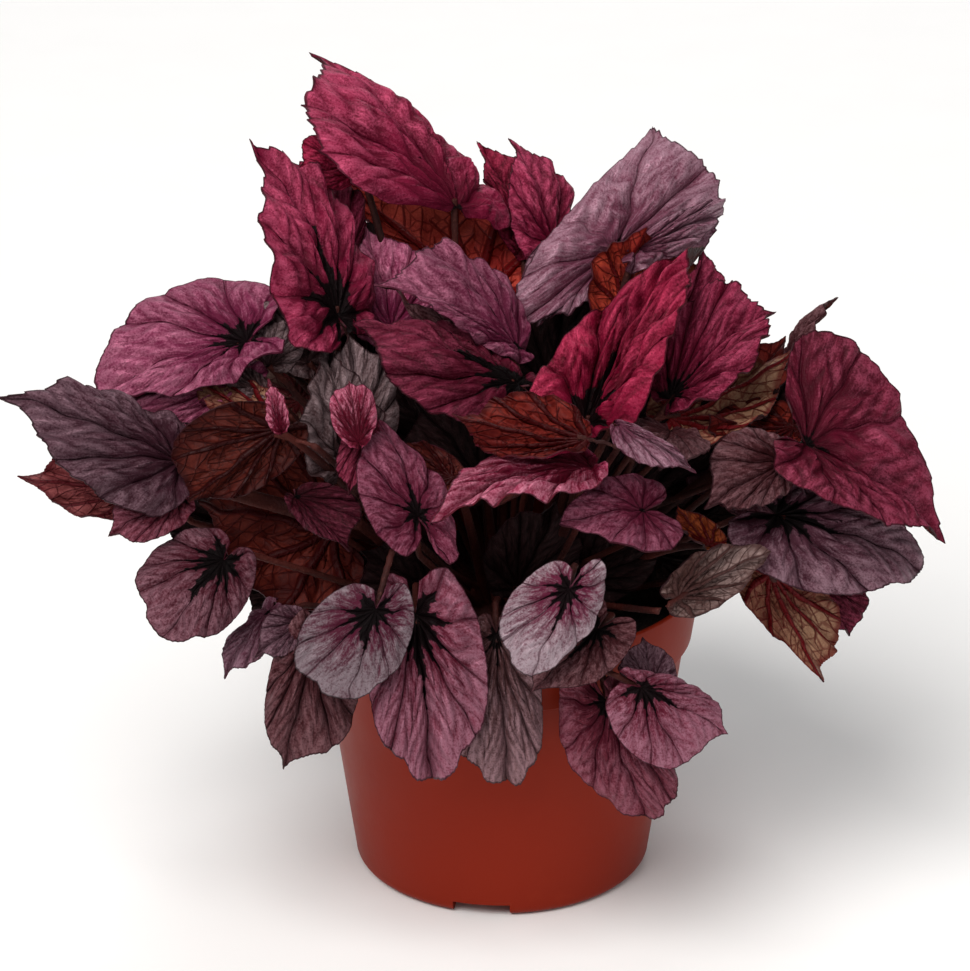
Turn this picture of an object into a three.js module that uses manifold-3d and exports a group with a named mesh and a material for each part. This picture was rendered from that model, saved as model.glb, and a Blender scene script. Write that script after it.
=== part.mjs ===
import * as THREE from 'three';
import Module from 'manifold-3d';
import { mergeVertices } from 'three/addons/utils/BufferGeometryUtils.js';

// A rex begonia in a round nursery pot. Millimetres, Z up.

// The pot
const potHeight = 95;
const rimRadius = 60;
const collarHeight = 20;
const collarRadius = 57.2;
const bodyRadius = 55.3;
const baseRadius = 44.9;
const baseEdge = 3.2;
const wall = 1.5;
const rimRound = 0.7;
const footWidth = 3.5;
const basePlateUnderside = 4;
const basePlateTop = 6;
const potSides = 36;
const notchCount = 3;
const notchWidth = 17.3;
const notchHeight = 4;
const firstNotchTurn = -98.4;
const drainCount = 6;
const drainRadius = 4;
const drainCircle = 28;

// The soil and the rhizome on it
const soilTop = 83;
const soilLump = 2.2;
const soilSides = 18;
const soilRings = [0.84, 0.68, 0.53];
const soilEdgeDrop = 1;
// Waves of the soil's lumps, in radians a millimetre: left to right, front to back and diagonal
const lumpWaves = [0.31, 0.27, 0.55];
const clearance = 0.35;
const crownRadius = 25;
const crownHeight = 8;
const crownSides = 15;
const crownLobes = 5;
const crownSwell = 0.13;
// The crown's outline, out and up, as shares of its radius and height
const crownProfile = [[0, 0], [0.86, 0], [1, 0.25], [0.8, 0.7], [0.42, 1], [0, 1.05]];
const rootCount = 3;
const firstRootTurn = 90;
const rootRadius = 6;
const rootCircle = 13;
const rootDepth = 12;

// The leaves
const bladeThickness = 0.9;
const stalkRadius = 1.35;
const stalkSides = 5;
const stalkSteps = 5;

// Half of a blade's edge, from its tip round to the notch at its stalk: out from the midrib, and along it.
// The midrib is 1 long from the stalk, and each second point is the end of a lobe or a dip between two.
const halfOutline = [
  [0, 1], [0.045, 0.87], [0.15, 0.78], [0.24, 0.67], [0.4, 0.58], [0.46, 0.41], [0.56, 0.24],
  [0.52, 0.04], [0.53, -0.14], [0.41, -0.26], [0.31, -0.38], [0.17, -0.35], [0.06, -0.22],
];
const cornerOut = 0.56;
const cornerAlong = 0.24;
const innerRing = 0.55;
const foldWidth = 0.2;

// Shares of a blade's length: how far it arches along its midrib, puffs up beside it and waves at its edge
const archShare = 0.09;
const puffShare = 0.035;
const waveShare = 0.022;
const edgeWaves = 5;
const waveTurn = 2.4;

// The leaves that face the front are placed as an eye sees them that is 1.5 m away and 24.4 degrees above
// level: across to the right of the pot's axis, up in the picture plane, and near, towards the eye.
const eyeDistance = 1500;
const eyeRise = THREE.MathUtils.degToRad(24.4);
const aim = new THREE.Vector3(-5.3, 0, 122);
const upwards = new THREE.Vector3(0, Math.sin(eyeRise), Math.cos(eyeRise));
const towardsEye = new THREE.Vector3(0, -Math.cos(eyeRise), Math.sin(eyeRise));
const eye = aim.clone().addScaledVector(towardsEye, eyeDistance);

const colours = {
  crimson: 0x93204a, pink: 0xb5527c, magenta: 0xa63a72, silver: 0xa98aa6, mauve: 0x85566a,
  grey: 0x8d8588, brick: 0x7a3428, olive: 0x8a8560, amber: 0x9a4f28,
};

// Joint, tip, left corner and right corner as seen from joint to tip; how far the lobes behind the joint
// reach; which face the eye sees; and the colour. The nearest leaves come first.
const frontLeaves = [
  [[26, 118, 62], [-22, 101, 68], [12, 105, 72], [-2, 119, 58], 0.4, 'top', 'pink'],
  [[42, 51, 58], [67, 37, 46], [56, 51, 46], [44, 27, 48], 1, 'top', 'pink'],
  [[-38, 74, 66], [-46, 46, 60], [-28, 62, 62], [-63, 62, 56], 1, 'top', 'silver'],
  [[20, 80, 72], [8, 53, 67], [28, 72, 66], [-1, 72, 64], 1, 'top', 'silver'],
  [[-25, 103, 62], [-37, 132, 44], [-44, 108, 58], [-16, 103, 56], 1, 'top', 'magenta'],
  [[42, 104, 56], [16, 100, 62], [42, 90, 64], [32, 114, 52], 1, 'top', 'magenta'],
  [[24, 131, 56], [60, 184, 22], [13, 146.5, 46], [54, 153, 52], 0.4, 'top', 'crimson'],
  [[-43, 124, 60], [-46, 142.5, 54], [-52, 134, 56], [-38, 137, 56], 0.5, 'top', 'pink'],
  [[50, 128, 46], [47, 116, 62], [62, 120, 52], [34, 128, 50], 0.6, 'top', 'grey'],
  [[25, 124, 64], [-15, 132, 60], [0, 121, 58], [6, 141, 62], 0.3, 'under', 'brick'],
  [[-46, 118, 44], [-53.5, 157, 30], [-62, 130, 52], [-35, 134, 50], 0.5, 'top', 'grey'],
  [[-66, 128, 48], [-94, 106, 58], [-71, 110, 50], [-97, 128, 56], 0.7, 'under', 'brick'],
  [[-83.5, 89, 52], [-102, 64.5, 56], [-81, 69, 52], [-108.5, 87, 46], 1, 'top', 'mauve'],
  [[-96, 119, 50], [-150.5, 138.5, 52], [-121, 106, 56], [-110, 135, 42], 0.4, 'top', 'mauve'],
  [[-97, 107, 50], [-118, 96, 50], [-104, 94, 52], [-112, 111, 46], 0.8, 'top', 'pink'],
  [[-62, 108, 48], [-46, 92, 54], [-42, 106, 50], [-58, 97, 52], 0.6, 'top', 'crimson'],
  [[-69, 131, 48], [-95, 145, 44], [-84, 133, 50], [-76, 144, 42], 0.6, 'under', 'olive'],
  [[-26, 72, 57], [-20.8, 21.5, 41], [-3, 50, 50], [-40, 44, 49], 1, 'top', 'pink'],
  [[28, 68, 58], [8, 49, 54], [32, 55, 56], [10, 70, 54], 1, 'top', 'grey'],
  [[31, 46, 46], [43, 11.5, 28], [52, 26, 32], [19, 32, 32], 1, 'top', 'mauve'],
  [[-2, 66, 50], [2, 20.5, 29], [12.5, 43, 38], [-16, 42, 36], 0.6, 'top', 'grey'],
  [[-57, 65, 48], [-65.5, 26, 36], [-44, 42, 38], [-71, 50, 42], 0.8, 'top', 'mauve'],
  [[5, 143, 44], [-45, 158.5, 32], [-24, 132, 48], [-12, 152, 30], 0.5, 'top', 'crimson'],
  [[5, 153, 30], [-38, 172.5, 34], [-10, 154, 34], [-12, 181, 14], 0.4, 'top', 'pink'],
  [[34.5, 183, 8], [45, 219, -14], [3, 170, 18], [66, 193, -8], 0.7, 'top', 'silver'],
  [[37, 162, 10], [42.5, 189, 22], [26, 174, 20], [53, 176, 4], 0.8, 'under', 'amber'],
  [[-77.5, 155, 42], [-123, 135.5, 36], [-100, 135, 48], [-102, 168.5, 22], 1, 'top', 'magenta'],
  [[92, 124, 36], [132.5, 94, 22], [106, 152, 18], [98, 103, 42], 0.6, 'top', 'crimson'],
  [[50, 138, 36], [81, 164, 20], [58, 169, 18], [77, 148, 34], 0.6, 'top', 'crimson'],
  [[84, 118, 36], [60, 104, 46], [76, 103, 46], [64, 125, 38], 0.7, 'top', 'mauve'],
  [[50, 130, 30], [88, 152, 12], [60, 150, 14], [75, 130, 28], 0.6, 'under', 'olive'],
  [[83, 103, 30], [128, 86, 6], [100, 111, 12], [91, 78, 26], 0.8, 'top', 'grey'],
  [[52, 78, 46], [81, 92, 40], [61, 92, 46], [68, 76, 42], 0.6, 'under', 'grey'],
  [[79.5, 85, 16], [95, 52.5, 12], [103, 70, 4], [71, 76.5, 14], 0.5, 'under', 'olive'],
  [[-48, 163, 28], [-74.5, 214.5, 10], [-71.5, 170, 36], [-45, 186, 8], 0.5, 'top', 'crimson'],
  [[-105, 110, 38], [-145, 113.5, 36], [-122, 101.5, 40], [-124, 124, 34], 0.6, 'under', 'brick'],
  [[-70, 74, 36], [-84, 54, 40], [-72, 59, 40], [-79, 67, 34], 0.8, 'top', 'mauve'],
  [[84, 149, 12], [100.5, 167, 4], [89.5, 156, 4], [94.5, 157.5, 12], 0.5, 'top', 'mauve'],
  [[-33, 158, 8], [-41, 189, 0], [-48, 168, 8], [-20, 174, 0], 0.6, 'top', 'pink'],
  [[-50, 98, 18], [-92, 106, 30], [-66, 74, 26], [-62, 124, 18], 0.7, 'under', 'brick'],
  [[-12, 196, 6], [-57.5, 239.8, -8], [-58, 210, 20], [-8, 198, -10], 0.1, 'top', 'crimson'],
  [[16, 182, 0], [2.8, 216, -8], [2, 188, 0], [20, 193, -14], 0.5, 'top', 'crimson'],
  [[8, 183, -8], [-7.6, 214.5, -14], [-4, 192, -8], [16, 194, -18], 0.5, 'top', 'crimson'],
  [[-8, 168, -8], [-49, 206, -10], [-30, 182, -6], [3, 200, -18], 0.6, 'under', 'brick'],
  [[-60, 136, 8], [-90, 153, -2], [-80, 130, 4], [-62, 162, -8], 0.6, 'under', 'grey'],
];

// The leaves of the hidden side: turn from straight back, radius and height of the joint and of the tip,
// width as a share of the usual, and the colour.
const backLeaves = [
  [-45, 54, 164, 98, 154, 1.05, 'crimson'],
  [4, 58, 168, 104, 157, 1.05, 'magenta'],
  [50, 54, 164, 98, 150, 1.05, 'pink'],
  [-78, 70, 128, 118, 112, 1, 'magenta'],
  [-37, 68, 134, 119, 115, 1.05, 'pink'],
  [2, 71, 136, 122, 113, 1, 'mauve'],
  [40, 68, 134, 119, 111, 1.05, 'crimson'],
  [76, 70, 130, 118, 110, 1, 'mauve'],
  [-60, 76, 103, 109, 66, 1.05, 'silver'],
  [-20, 77, 102, 108, 60, 1.1, 'pink'],
  [20, 77, 102, 109, 58, 1.1, 'silver'],
  [57, 76, 104, 109, 66, 1.05, 'magenta'],
];

// How far a hidden leaf's right and left corner reach out, and how far both droop, as shares of its width
const backRight = 1.05;
const backLeft = 1.2;
const backDroop = 0.25;

// A leaf that would touch another slides along the line of sight, or tips or leans, by these steps.
const slides = [0, -3, -6, -9, -12, -15, -18, -21, -24, -27, -30, -34, -38, 3, 6, 9, 12];
const tips = [0, 7, -7, 14, -14];
const leans = [0, 8, -8];

const wasm = await Module();
wasm.setup();

function solidOf(geometry) {
  const bare = geometry.index ? geometry.toNonIndexed() : geometry.clone();
  for (const name of Object.keys(bare.attributes)) {
    if (name !== 'position') {
      bare.deleteAttribute(name);
    }
  }
  const merged = mergeVertices(bare, 1e-4);
  const mesh = new wasm.Mesh({
    numProp: 3,
    vertProperties: new Float32Array(merged.attributes.position.array),
    triVerts: new Uint32Array(merged.index.array),
  });
  return new wasm.Manifold(mesh);
}

function geometryOf(solid) {
  const mesh = solid.getMesh();
  const geometry = new THREE.BufferGeometry();
  geometry.setAttribute('position', new THREE.BufferAttribute(new Float32Array(mesh.vertProperties), 3));
  geometry.setIndex(new THREE.BufferAttribute(new Uint32Array(mesh.triVerts), 1));
  return geometry;
}

function turnedTo(geometry, radius, degrees) {
  const angle = THREE.MathUtils.degToRad(degrees);
  geometry.translate(radius, 0, 0);
  geometry.rotateZ(angle);
  return geometry;
}

function upright(points, sides) {
  const profile = points.map(([r, z]) => new THREE.Vector2(r, z));
  const geometry = new THREE.LatheGeometry(profile, sides);
  geometry.rotateX(Math.PI / 2);
  return geometry;
}

function column(radius, low, high, sides) {
  const geometry = new THREE.CylinderGeometry(radius, radius, high - low, sides);
  geometry.rotateX(Math.PI / 2);
  geometry.translate(0, 0, (low + high) / 2);
  return geometry;
}

const collarBottom = potHeight - collarHeight;

function innerRadiusAt(height) {
  if (height >= collarBottom) {
    const share = (height - collarBottom) / collarHeight;
    return THREE.MathUtils.lerp(collarRadius, rimRadius, share) - wall;
  }
  const share = (height - baseEdge) / (collarBottom - baseEdge);
  return THREE.MathUtils.lerp(baseRadius, bodyRadius, share) - wall;
}

function potSolid() {
  const profile = [
    [0, basePlateUnderside],
    [baseRadius - baseEdge - footWidth, basePlateUnderside],
    [baseRadius - baseEdge - footWidth, 0],
    [baseRadius - baseEdge, 0],
    [baseRadius - baseEdge * 0.3, baseEdge * 0.3],
    [baseRadius, baseEdge],
    [bodyRadius, collarBottom],
    [collarRadius, collarBottom],
    [rimRadius, potHeight - rimRound],
    [rimRadius - rimRound, potHeight],
    [rimRadius - wall, potHeight],
    [innerRadiusAt(collarBottom + wall), collarBottom + wall],
    [innerRadiusAt(collarBottom - wall), collarBottom - wall],
    [innerRadiusAt(basePlateTop), basePlateTop],
    [0, basePlateTop],
  ];
  let pot = solidOf(upright(profile, potSides));
  for (let i = 0; i < notchCount; i += 1) {
    const notch = new THREE.BoxGeometry(4 * baseEdge + footWidth, notchWidth, 2 * notchHeight);
    const turn = firstNotchTurn + (360 / notchCount) * i;
    pot = pot.subtract(solidOf(turnedTo(notch, baseRadius - footWidth / 2, turn)));
  }
  for (let i = 0; i < drainCount; i += 1) {
    const drain = column(drainRadius, 1, basePlateTop + 3, 8);
    pot = pot.subtract(solidOf(turnedTo(drain, drainCircle, (360 / drainCount) * i)));
  }
  return pot;
}

const crownBase = soilTop + clearance;

function rootTurn(i) {
  return firstRootTurn + (360 / rootCount) * i;
}

function soilSolid() {
  const low = basePlateTop + clearance;
  const edge = innerRadiusAt(soilTop) - clearance;
  const profile = [
    [0, low],
    [innerRadiusAt(low) - clearance, low],
    [innerRadiusAt(collarBottom - wall) - clearance, collarBottom - wall + clearance],
    [innerRadiusAt(collarBottom + wall) - clearance, collarBottom + wall + clearance],
    [edge, soilTop - soilEdgeDrop],
    ...soilRings.map((share) => [edge * share, soilTop]),
    [0, soilTop],
  ];
  const geometry = upright(profile, soilSides);
  const place = geometry.attributes.position;
  const [across, deep, diagonal] = lumpWaves;
  for (let i = 0; i < place.count; i += 1) {
    const x = place.getX(i);
    const y = place.getY(i);
    const r = Math.hypot(x, y);
    if (place.getZ(i) > soilTop - soilEdgeDrop / 2 && r > crownRadius * 1.25) {
      const lump = Math.sin(x * across + 1.7) * Math.cos(y * deep - 0.6) + 0.4 * Math.sin((x + y) * diagonal);
      place.setZ(i, place.getZ(i) + soilLump * lump);
    }
  }
  let soil = solidOf(geometry);
  for (let i = 0; i < rootCount; i += 1) {
    const hole = column(rootRadius + clearance, crownBase - rootDepth - clearance, soilTop + 5, 8);
    soil = soil.subtract(solidOf(turnedTo(hole, rootCircle, rootTurn(i))));
  }
  return soil;
}

function crownSolid() {
  const profile = crownProfile.map(([out, up]) => [crownRadius * out, crownBase + crownHeight * up]);
  const geometry = upright(profile, crownSides);
  const place = geometry.attributes.position;
  for (let i = 0; i < place.count; i += 1) {
    const turn = Math.atan2(place.getY(i), place.getX(i));
    const swell = 1 + crownSwell * Math.cos(crownLobes * turn + 0.4);
    place.setX(i, place.getX(i) * swell);
    place.setY(i, place.getY(i) * swell);
  }
  let crown = solidOf(geometry);
  for (let i = 0; i < rootCount; i += 1) {
    const root = column(rootRadius, crownBase - rootDepth, crownBase + crownHeight / 2, 8);
    crown = crown.add(solidOf(turnedTo(root, rootCircle, rootTurn(i))));
  }
  return crown;
}

function seen([across, up, near]) {
  const place = aim.clone().addScaledVector(upwards, up - aim.dot(upwards));
  place.x += across - aim.x;
  return place.lerp(eye, near / eyeDistance);
}

// A blade's shape: its joint, its midrib as one vector, and a vector across each half for one unit out.
function bladeShape(joint, tip, left, right, back, index) {
  const axis = tip.clone().sub(joint);
  const across = [left, right].map((corner) => (
    corner.clone().sub(joint).addScaledVector(axis, -cornerAlong).divideScalar(cornerOut)
  ));
  const normals = [
    axis.clone().cross(across[0]).normalize(),
    across[1].clone().cross(axis).normalize(),
  ];
  const length = axis.length();
  return {
    joint,
    axis,
    across,
    normals,
    normal: normals[0].clone().add(normals[1]).normalize(),
    back,
    arch: length * archShare,
    puff: length * puffShare,
    wave: length * waveShare,
    phase: index * waveTurn,
  };
}

function bladePoint(shape, out, along, reach) {
  const half = out < 0 ? 0 : 1;
  const distance = Math.abs(out);
  const share = Math.min(1, distance / foldWidth);
  const normal = shape.normal.clone().lerp(shape.normals[half], share).normalize();
  const span = Math.min(1, distance / cornerOut);
  const lift = shape.arch * Math.sin(Math.PI * along)
    + shape.puff * 4 * span * (1 - span)
    + shape.wave * reach * reach * Math.sin(edgeWaves * Math.atan2(out, along) + shape.phase);
  return shape.joint.clone()
    .addScaledVector(shape.axis, along)
    .addScaledVector(shape.across[half], distance)
    .addScaledVector(normal, lift);
}

function bladeOutline(back) {
  const behind = ([out, along]) => [out, along < 0 ? along * back : along];
  const right = halfOutline.map(behind);
  const left = right.slice(1).reverse().map(([out, along]) => [-out, along]);
  return [...left, ...right];
}

// Rows of points: the edge, a ring inside it and the joint. Both faces are split alike.
const edgeCount = 2 * halfOutline.length - 1;
const ringCount = halfOutline.length;
const jointIndex = edgeCount + ringCount;

function bladeFaces() {
  const faces = [];
  for (let i = 0; i < ringCount - 1; i += 1) {
    const ring = edgeCount + i;
    faces.push([ring, 2 * i + 1, 2 * i], [ring, ring + 1, 2 * i + 1], [ring + 1, 2 * i + 2, 2 * i + 1]);
    faces.push([jointIndex, ring + 1, ring]);
  }
  return faces;
}

function bladeBorder() {
  const border = [];
  for (let i = 0; i < edgeCount; i += 1) {
    border.push(i);
  }
  border.push(edgeCount + ringCount - 1, jointIndex, edgeCount);
  return border;
}

const faces = bladeFaces();
const border = bladeBorder();

function bladeMiddle(shape) {
  const outline = bladeOutline(shape.back);
  const points = outline.map(([out, along]) => bladePoint(shape, out, along, 1));
  for (let i = 0; i < edgeCount; i += 2) {
    const [out, along] = outline[i];
    points.push(bladePoint(shape, out * innerRing, along * innerRing, innerRing));
  }
  points.push(bladePoint(shape, 0, 0, 0));
  return points;
}

function bladeGeometry(shape, thickness) {
  const middle = bladeMiddle(shape);
  const normals = middle.map(() => new THREE.Vector3());
  for (const [a, b, c] of faces) {
    const ab = middle[b].clone().sub(middle[a]);
    const ac = middle[c].clone().sub(middle[a]);
    const area = ab.cross(ac);
    normals[a].add(area);
    normals[b].add(area);
    normals[c].add(area);
  }
  const positions = [];
  for (const side of [0.5, -0.5]) {
    middle.forEach((point, i) => {
      positions.push(point.clone().addScaledVector(normals[i].clone().normalize(), side * thickness));
    });
  }
  const below = middle.length;
  const index = [];
  for (const [a, b, c] of faces) {
    index.push(a, b, c, below + a, below + c, below + b);
  }
  border.forEach((a, i) => {
    const b = border[(i + 1) % border.length];
    index.push(a, b, below + b, a, below + b, below + a);
  });
  const geometry = new THREE.BufferGeometry().setFromPoints(positions);
  geometry.setIndex(index);
  return geometry;
}

function frontShape(row, slide, tip, lean, index) {
  const [joint, end, left, right, back, face] = row;
  const shifted = [[joint, 0], [end, tip], [left, lean], [right, -lean]].map(([[across, up, near], more]) => (
    seen([across, up, near + slide + more])
  ));
  const [first, last, one, other] = shifted;
  return face === 'top'
    ? bladeShape(first, last, one, other, back, index)
    : bladeShape(first, last, other, one, back, index);
}

function backShape(row, slide, tip, lean, index) {
  const [turn, jointRadius, jointHeight, tipRadius, tipHeight, width] = row;
  const angle = THREE.MathUtils.degToRad(turn);
  const outward = new THREE.Vector3(Math.sin(angle), Math.cos(angle), 0);
  const sideways = new THREE.Vector3(Math.cos(angle), -Math.sin(angle), 0);
  const joint = outward.clone().multiplyScalar(jointRadius + slide);
  joint.z = jointHeight + slide / 2;
  const end = outward.clone().multiplyScalar(tipRadius + slide);
  end.z = tipHeight + slide / 2 + tip;
  const axis = end.clone().sub(joint);
  const corner = joint.clone().addScaledVector(axis, cornerAlong);
  const reach = cornerOut * axis.length() * width;
  const right = corner.clone().addScaledVector(sideways, reach * backRight);
  const left = corner.clone().addScaledVector(sideways, -reach * backLeft);
  right.z -= reach * backDroop + lean;
  left.z -= reach * backDroop - lean;
  return bladeShape(joint, end, left, right, 1, index);
}

const boxes = new Map();

function boxOf(solid) {
  if (!boxes.has(solid)) {
    boxes.set(solid, solid.boundingBox());
  }
  return boxes.get(solid);
}

function overlap(a, b) {
  const first = boxOf(a);
  const second = boxOf(b);
  for (let i = 0; i < 3; i += 1) {
    if (first.min[i] > second.max[i] || second.min[i] > first.max[i]) {
      return false;
    }
  }
  return !a.intersect(b).isEmpty();
}

// Every way a leaf may shift, the smallest first. A slide towards the eye counts double.
const nearCost = 2;
const turnCost = 0.8;
const shifts = [];
for (const slide of slides) {
  for (const tip of tips) {
    for (const lean of leans) {
      const turned = Math.abs(tip) + Math.abs(lean);
      const cost = Math.abs(slide) * (slide > 0 ? nearCost : 1) + turnCost * turned;
      shifts.push({ slide, tip, lean, cost });
    }
  }
}
shifts.sort((a, b) => a.cost - b.cost);

const pot = potSolid();
const soil = soilSolid();
const crown = crownSolid();
const inTheWay = [pot, soil, crown];

function placedLeaf(row, makeShape, index) {
  for (const { slide, tip, lean } of shifts) {
    const shape = makeShape(row, slide, tip, lean, index);
    const wide = solidOf(bladeGeometry(shape, bladeThickness + 2 * clearance));
    if (!inTheWay.some((other) => overlap(wide, other))) {
      const solid = solidOf(bladeGeometry(shape, bladeThickness));
      inTheWay.push(solid);
      return { shape, solid };
    }
  }
  throw new Error(`leaf ${index + 1} finds no place`);
}

const rows = [
  ...frontLeaves.map((row) => ({ row, makeShape: frontShape, colour: row[6] })),
  ...backLeaves.map((row) => ({ row, makeShape: backShape, colour: row[6] })),
];
const leaves = rows.map(({ row, makeShape, colour }, index) => (
  { ...placedLeaf(row, makeShape, index), colour }
));

// A stalk runs from under its blade down to the crown in one bow. Its ways are tried in order, the
// straightest first, until one is clear of every blade. An end is how far it leaves the blade along the
// blade's normal and along its midrib.
const stalkFeet = [21, 13, 5];
const stalkTop = 2.2 * stalkRadius;
const stalkGaps = [0, 0.35, 0.7, 1.1, 1.6];
const stalkEnds = [[0.8, 0.6], [1, 0.1], [0.4, 0.9]];
const stalkReaches = [13, 24, 7];
const bowPlaces = [0.5, 0.3, 0.7];
const bowSizes = [0, 7, 14, 28, 42];
const bowTurns = 8;
const footTurns = [0, 40, -40];
const footHeight = crownBase + crownHeight * 0.4;

function stalkWays() {
  const list = [];
  for (const size of bowSizes) {
    for (let k = 0; k < (size === 0 ? 1 : bowTurns); k += 1) {
      for (const footTurn of footTurns) {
        for (const place of bowPlaces) {
          for (const reach of stalkReaches) {
            for (const end of stalkEnds) {
              list.push({ size, turn: (2 * Math.PI * k) / bowTurns, footTurn, place, reach, end });
            }
          }
        }
      }
    }
  }
  return list;
}

const ways = stalkWays();

function stalkGeometry(shape, footRadius, way, gap, radius) {
  const length = shape.axis.length();
  const forward = shape.axis.clone().divideScalar(length);
  const ringTip = bladePoint(shape, 0, innerRing, innerRing);
  const top = shape.joint.clone().lerp(ringTip, stalkTop / (innerRing * length));
  const away = shape.normal.clone().multiplyScalar(-way.end[0]).addScaledVector(forward, -way.end[1]);
  away.normalize();
  top.addScaledVector(shape.normal, -(bladeThickness / 2 + clearance + gap + stalkRadius * way.end[1]));
  const turn = Math.atan2(shape.joint.y, shape.joint.x) + THREE.MathUtils.degToRad(way.footTurn);
  const foot = new THREE.Vector3(footRadius * Math.cos(turn), footRadius * Math.sin(turn), footHeight);
  const start = top.clone().addScaledVector(away, way.reach);
  const run = foot.clone().sub(start).normalize();
  const level = new THREE.Vector3(run.y, -run.x, 0).normalize();
  const rising = level.clone().cross(run);
  const bend = start.clone().lerp(foot, way.place)
    .addScaledVector(rising, way.size * Math.cos(way.turn))
    .addScaledVector(level, way.size * Math.sin(way.turn));
  const path = new THREE.CatmullRomCurve3([top, start, bend, foot]);
  const round = new THREE.Shape();
  for (let i = 0; i < stalkSides; i += 1) {
    const angle = (2 * Math.PI * i) / stalkSides;
    const corner = [radius * Math.cos(angle), radius * Math.sin(angle)];
    if (i === 0) {
      round.moveTo(...corner);
    } else {
      round.lineTo(...corner);
    }
  }
  round.closePath();
  return new THREE.ExtrudeGeometry(round, { steps: stalkSteps, extrudePath: path, curveSegments: 1 });
}

const stalkBlocks = [pot, soil, ...leaves.map((leaf) => leaf.solid)];

function stalkFor(leaf, index) {
  const footRadius = stalkFeet[index % stalkFeet.length];
  for (const way of ways) {
    for (const gap of stalkGaps) {
      const stalk = solidOf(stalkGeometry(leaf.shape, footRadius, way, gap, stalkRadius));
      if (!overlap(stalk, leaf.solid)) {
        const wide = solidOf(stalkGeometry(leaf.shape, footRadius, way, gap, stalkRadius + clearance));
        if (!stalkBlocks.some((other) => other !== leaf.solid && overlap(wide, other))) {
          return stalk;
        }
        break;
      }
    }
  }
  throw new Error(`stalk ${index + 1} finds no way`);
}

let rhizome = crown;
leaves.forEach((leaf, index) => {
  rhizome = rhizome.add(stalkFor(leaf, index));
});

function finish(color, roughness) {
  return new THREE.MeshStandardMaterial({ color, roughness, metalness: 0 });
}

const plant = new THREE.Group();

function addPiece(name, geometry, material) {
  const mesh = new THREE.Mesh(geometry, material);
  mesh.name = name;
  plant.add(mesh);
}

addPiece('pot', geometryOf(pot), finish(0x9a4a2c, 0.5));
addPiece('soil', geometryOf(soil), finish(0x2c1f18, 0.95));
addPiece('rhizome', geometryOf(rhizome), finish(0x6e2a22, 0.6));
leaves.forEach((leaf, index) => {
  const name = `leaf_${String(index + 1).padStart(2, '0')}`;
  addPiece(name, bladeGeometry(leaf.shape, bladeThickness), finish(colours[leaf.colour], 0.55));
});

// The origin is on the floor, under the middle of the whole spread.
const spread = new THREE.Box3().setFromObject(plant);
plant.position.set(-(spread.min.x + spread.max.x) / 2, -(spread.min.y + spread.max.y) / 2, 0);

export default plant;
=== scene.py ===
import math
import bpy
import numpy as np
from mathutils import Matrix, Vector


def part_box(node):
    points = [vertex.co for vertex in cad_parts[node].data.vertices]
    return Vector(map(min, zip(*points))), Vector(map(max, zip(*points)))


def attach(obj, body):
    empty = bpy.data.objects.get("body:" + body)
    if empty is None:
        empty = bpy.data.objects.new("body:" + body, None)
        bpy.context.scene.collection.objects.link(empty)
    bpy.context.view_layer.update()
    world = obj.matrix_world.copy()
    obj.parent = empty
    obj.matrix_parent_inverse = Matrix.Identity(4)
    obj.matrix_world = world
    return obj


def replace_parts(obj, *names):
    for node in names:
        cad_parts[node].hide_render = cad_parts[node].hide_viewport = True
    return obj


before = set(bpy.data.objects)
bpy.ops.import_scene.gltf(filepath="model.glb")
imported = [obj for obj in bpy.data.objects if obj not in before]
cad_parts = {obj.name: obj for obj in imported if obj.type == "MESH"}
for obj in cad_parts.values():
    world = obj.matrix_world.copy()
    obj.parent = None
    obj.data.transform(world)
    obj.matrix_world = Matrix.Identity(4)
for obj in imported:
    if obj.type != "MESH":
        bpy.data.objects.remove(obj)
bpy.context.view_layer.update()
print("frame loaded:", len(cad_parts), "nodes")

mm = 0.001
mergeGap = 1e-6
potLow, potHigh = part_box("pot")
potAxis = np.array([(potLow.x + potHigh.x) / 2, (potLow.y + potHigh.y) / 2, 0])


# Helpers for meshes.
def deselectAll():
    if bpy.context.object and bpy.context.object.mode != "OBJECT":
        bpy.ops.object.mode_set(mode="OBJECT")
    bpy.ops.object.select_all(action="DESELECT")


def pick(piece):
    deselectAll()
    bpy.context.view_layer.objects.active = piece
    piece.select_set(True)


def added(name):
    # the primitive that was just added, with its place in its mesh
    piece = bpy.context.object
    piece.name = name
    piece.data.name = name
    pick(piece)
    bpy.ops.object.transform_apply(location=True, rotation=True, scale=True)
    return piece


def modified(piece, kind, **settings):
    pick(piece)
    modifier = piece.modifiers.new(kind.lower(), kind)
    for key, value in settings.items():
        setattr(modifier, key, value)
    bpy.ops.object.modifier_apply(modifier=modifier.name)
    return piece


def smoothed(piece, degrees=180):
    pick(piece)
    bpy.ops.object.shade_smooth_by_angle(angle=math.radians(degrees))
    return piece


def merged(piece):
    # points that lie on each other become one
    pick(piece)
    bpy.ops.object.mode_set(mode="EDIT")
    bpy.ops.mesh.select_all(action="SELECT")
    bpy.ops.mesh.remove_doubles(threshold=mergeGap)
    bpy.ops.object.mode_set(mode="OBJECT")
    return piece


def pointsOf(piece):
    points = np.empty(len(piece.data.vertices) * 3)
    piece.data.vertices.foreach_get("co", points)
    return points.reshape(-1, 3)


def setPoints(piece, points):
    piece.data.vertices.foreach_set("co", np.ascontiguousarray(points, dtype=np.float32).ravel())
    piece.data.update()


def wear(piece, slotName, *materials):
    if materials:
        piece.data.materials.clear()
    for material in materials:
        piece.data.materials.append(material)
    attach(piece, "root")
    return piece


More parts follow.
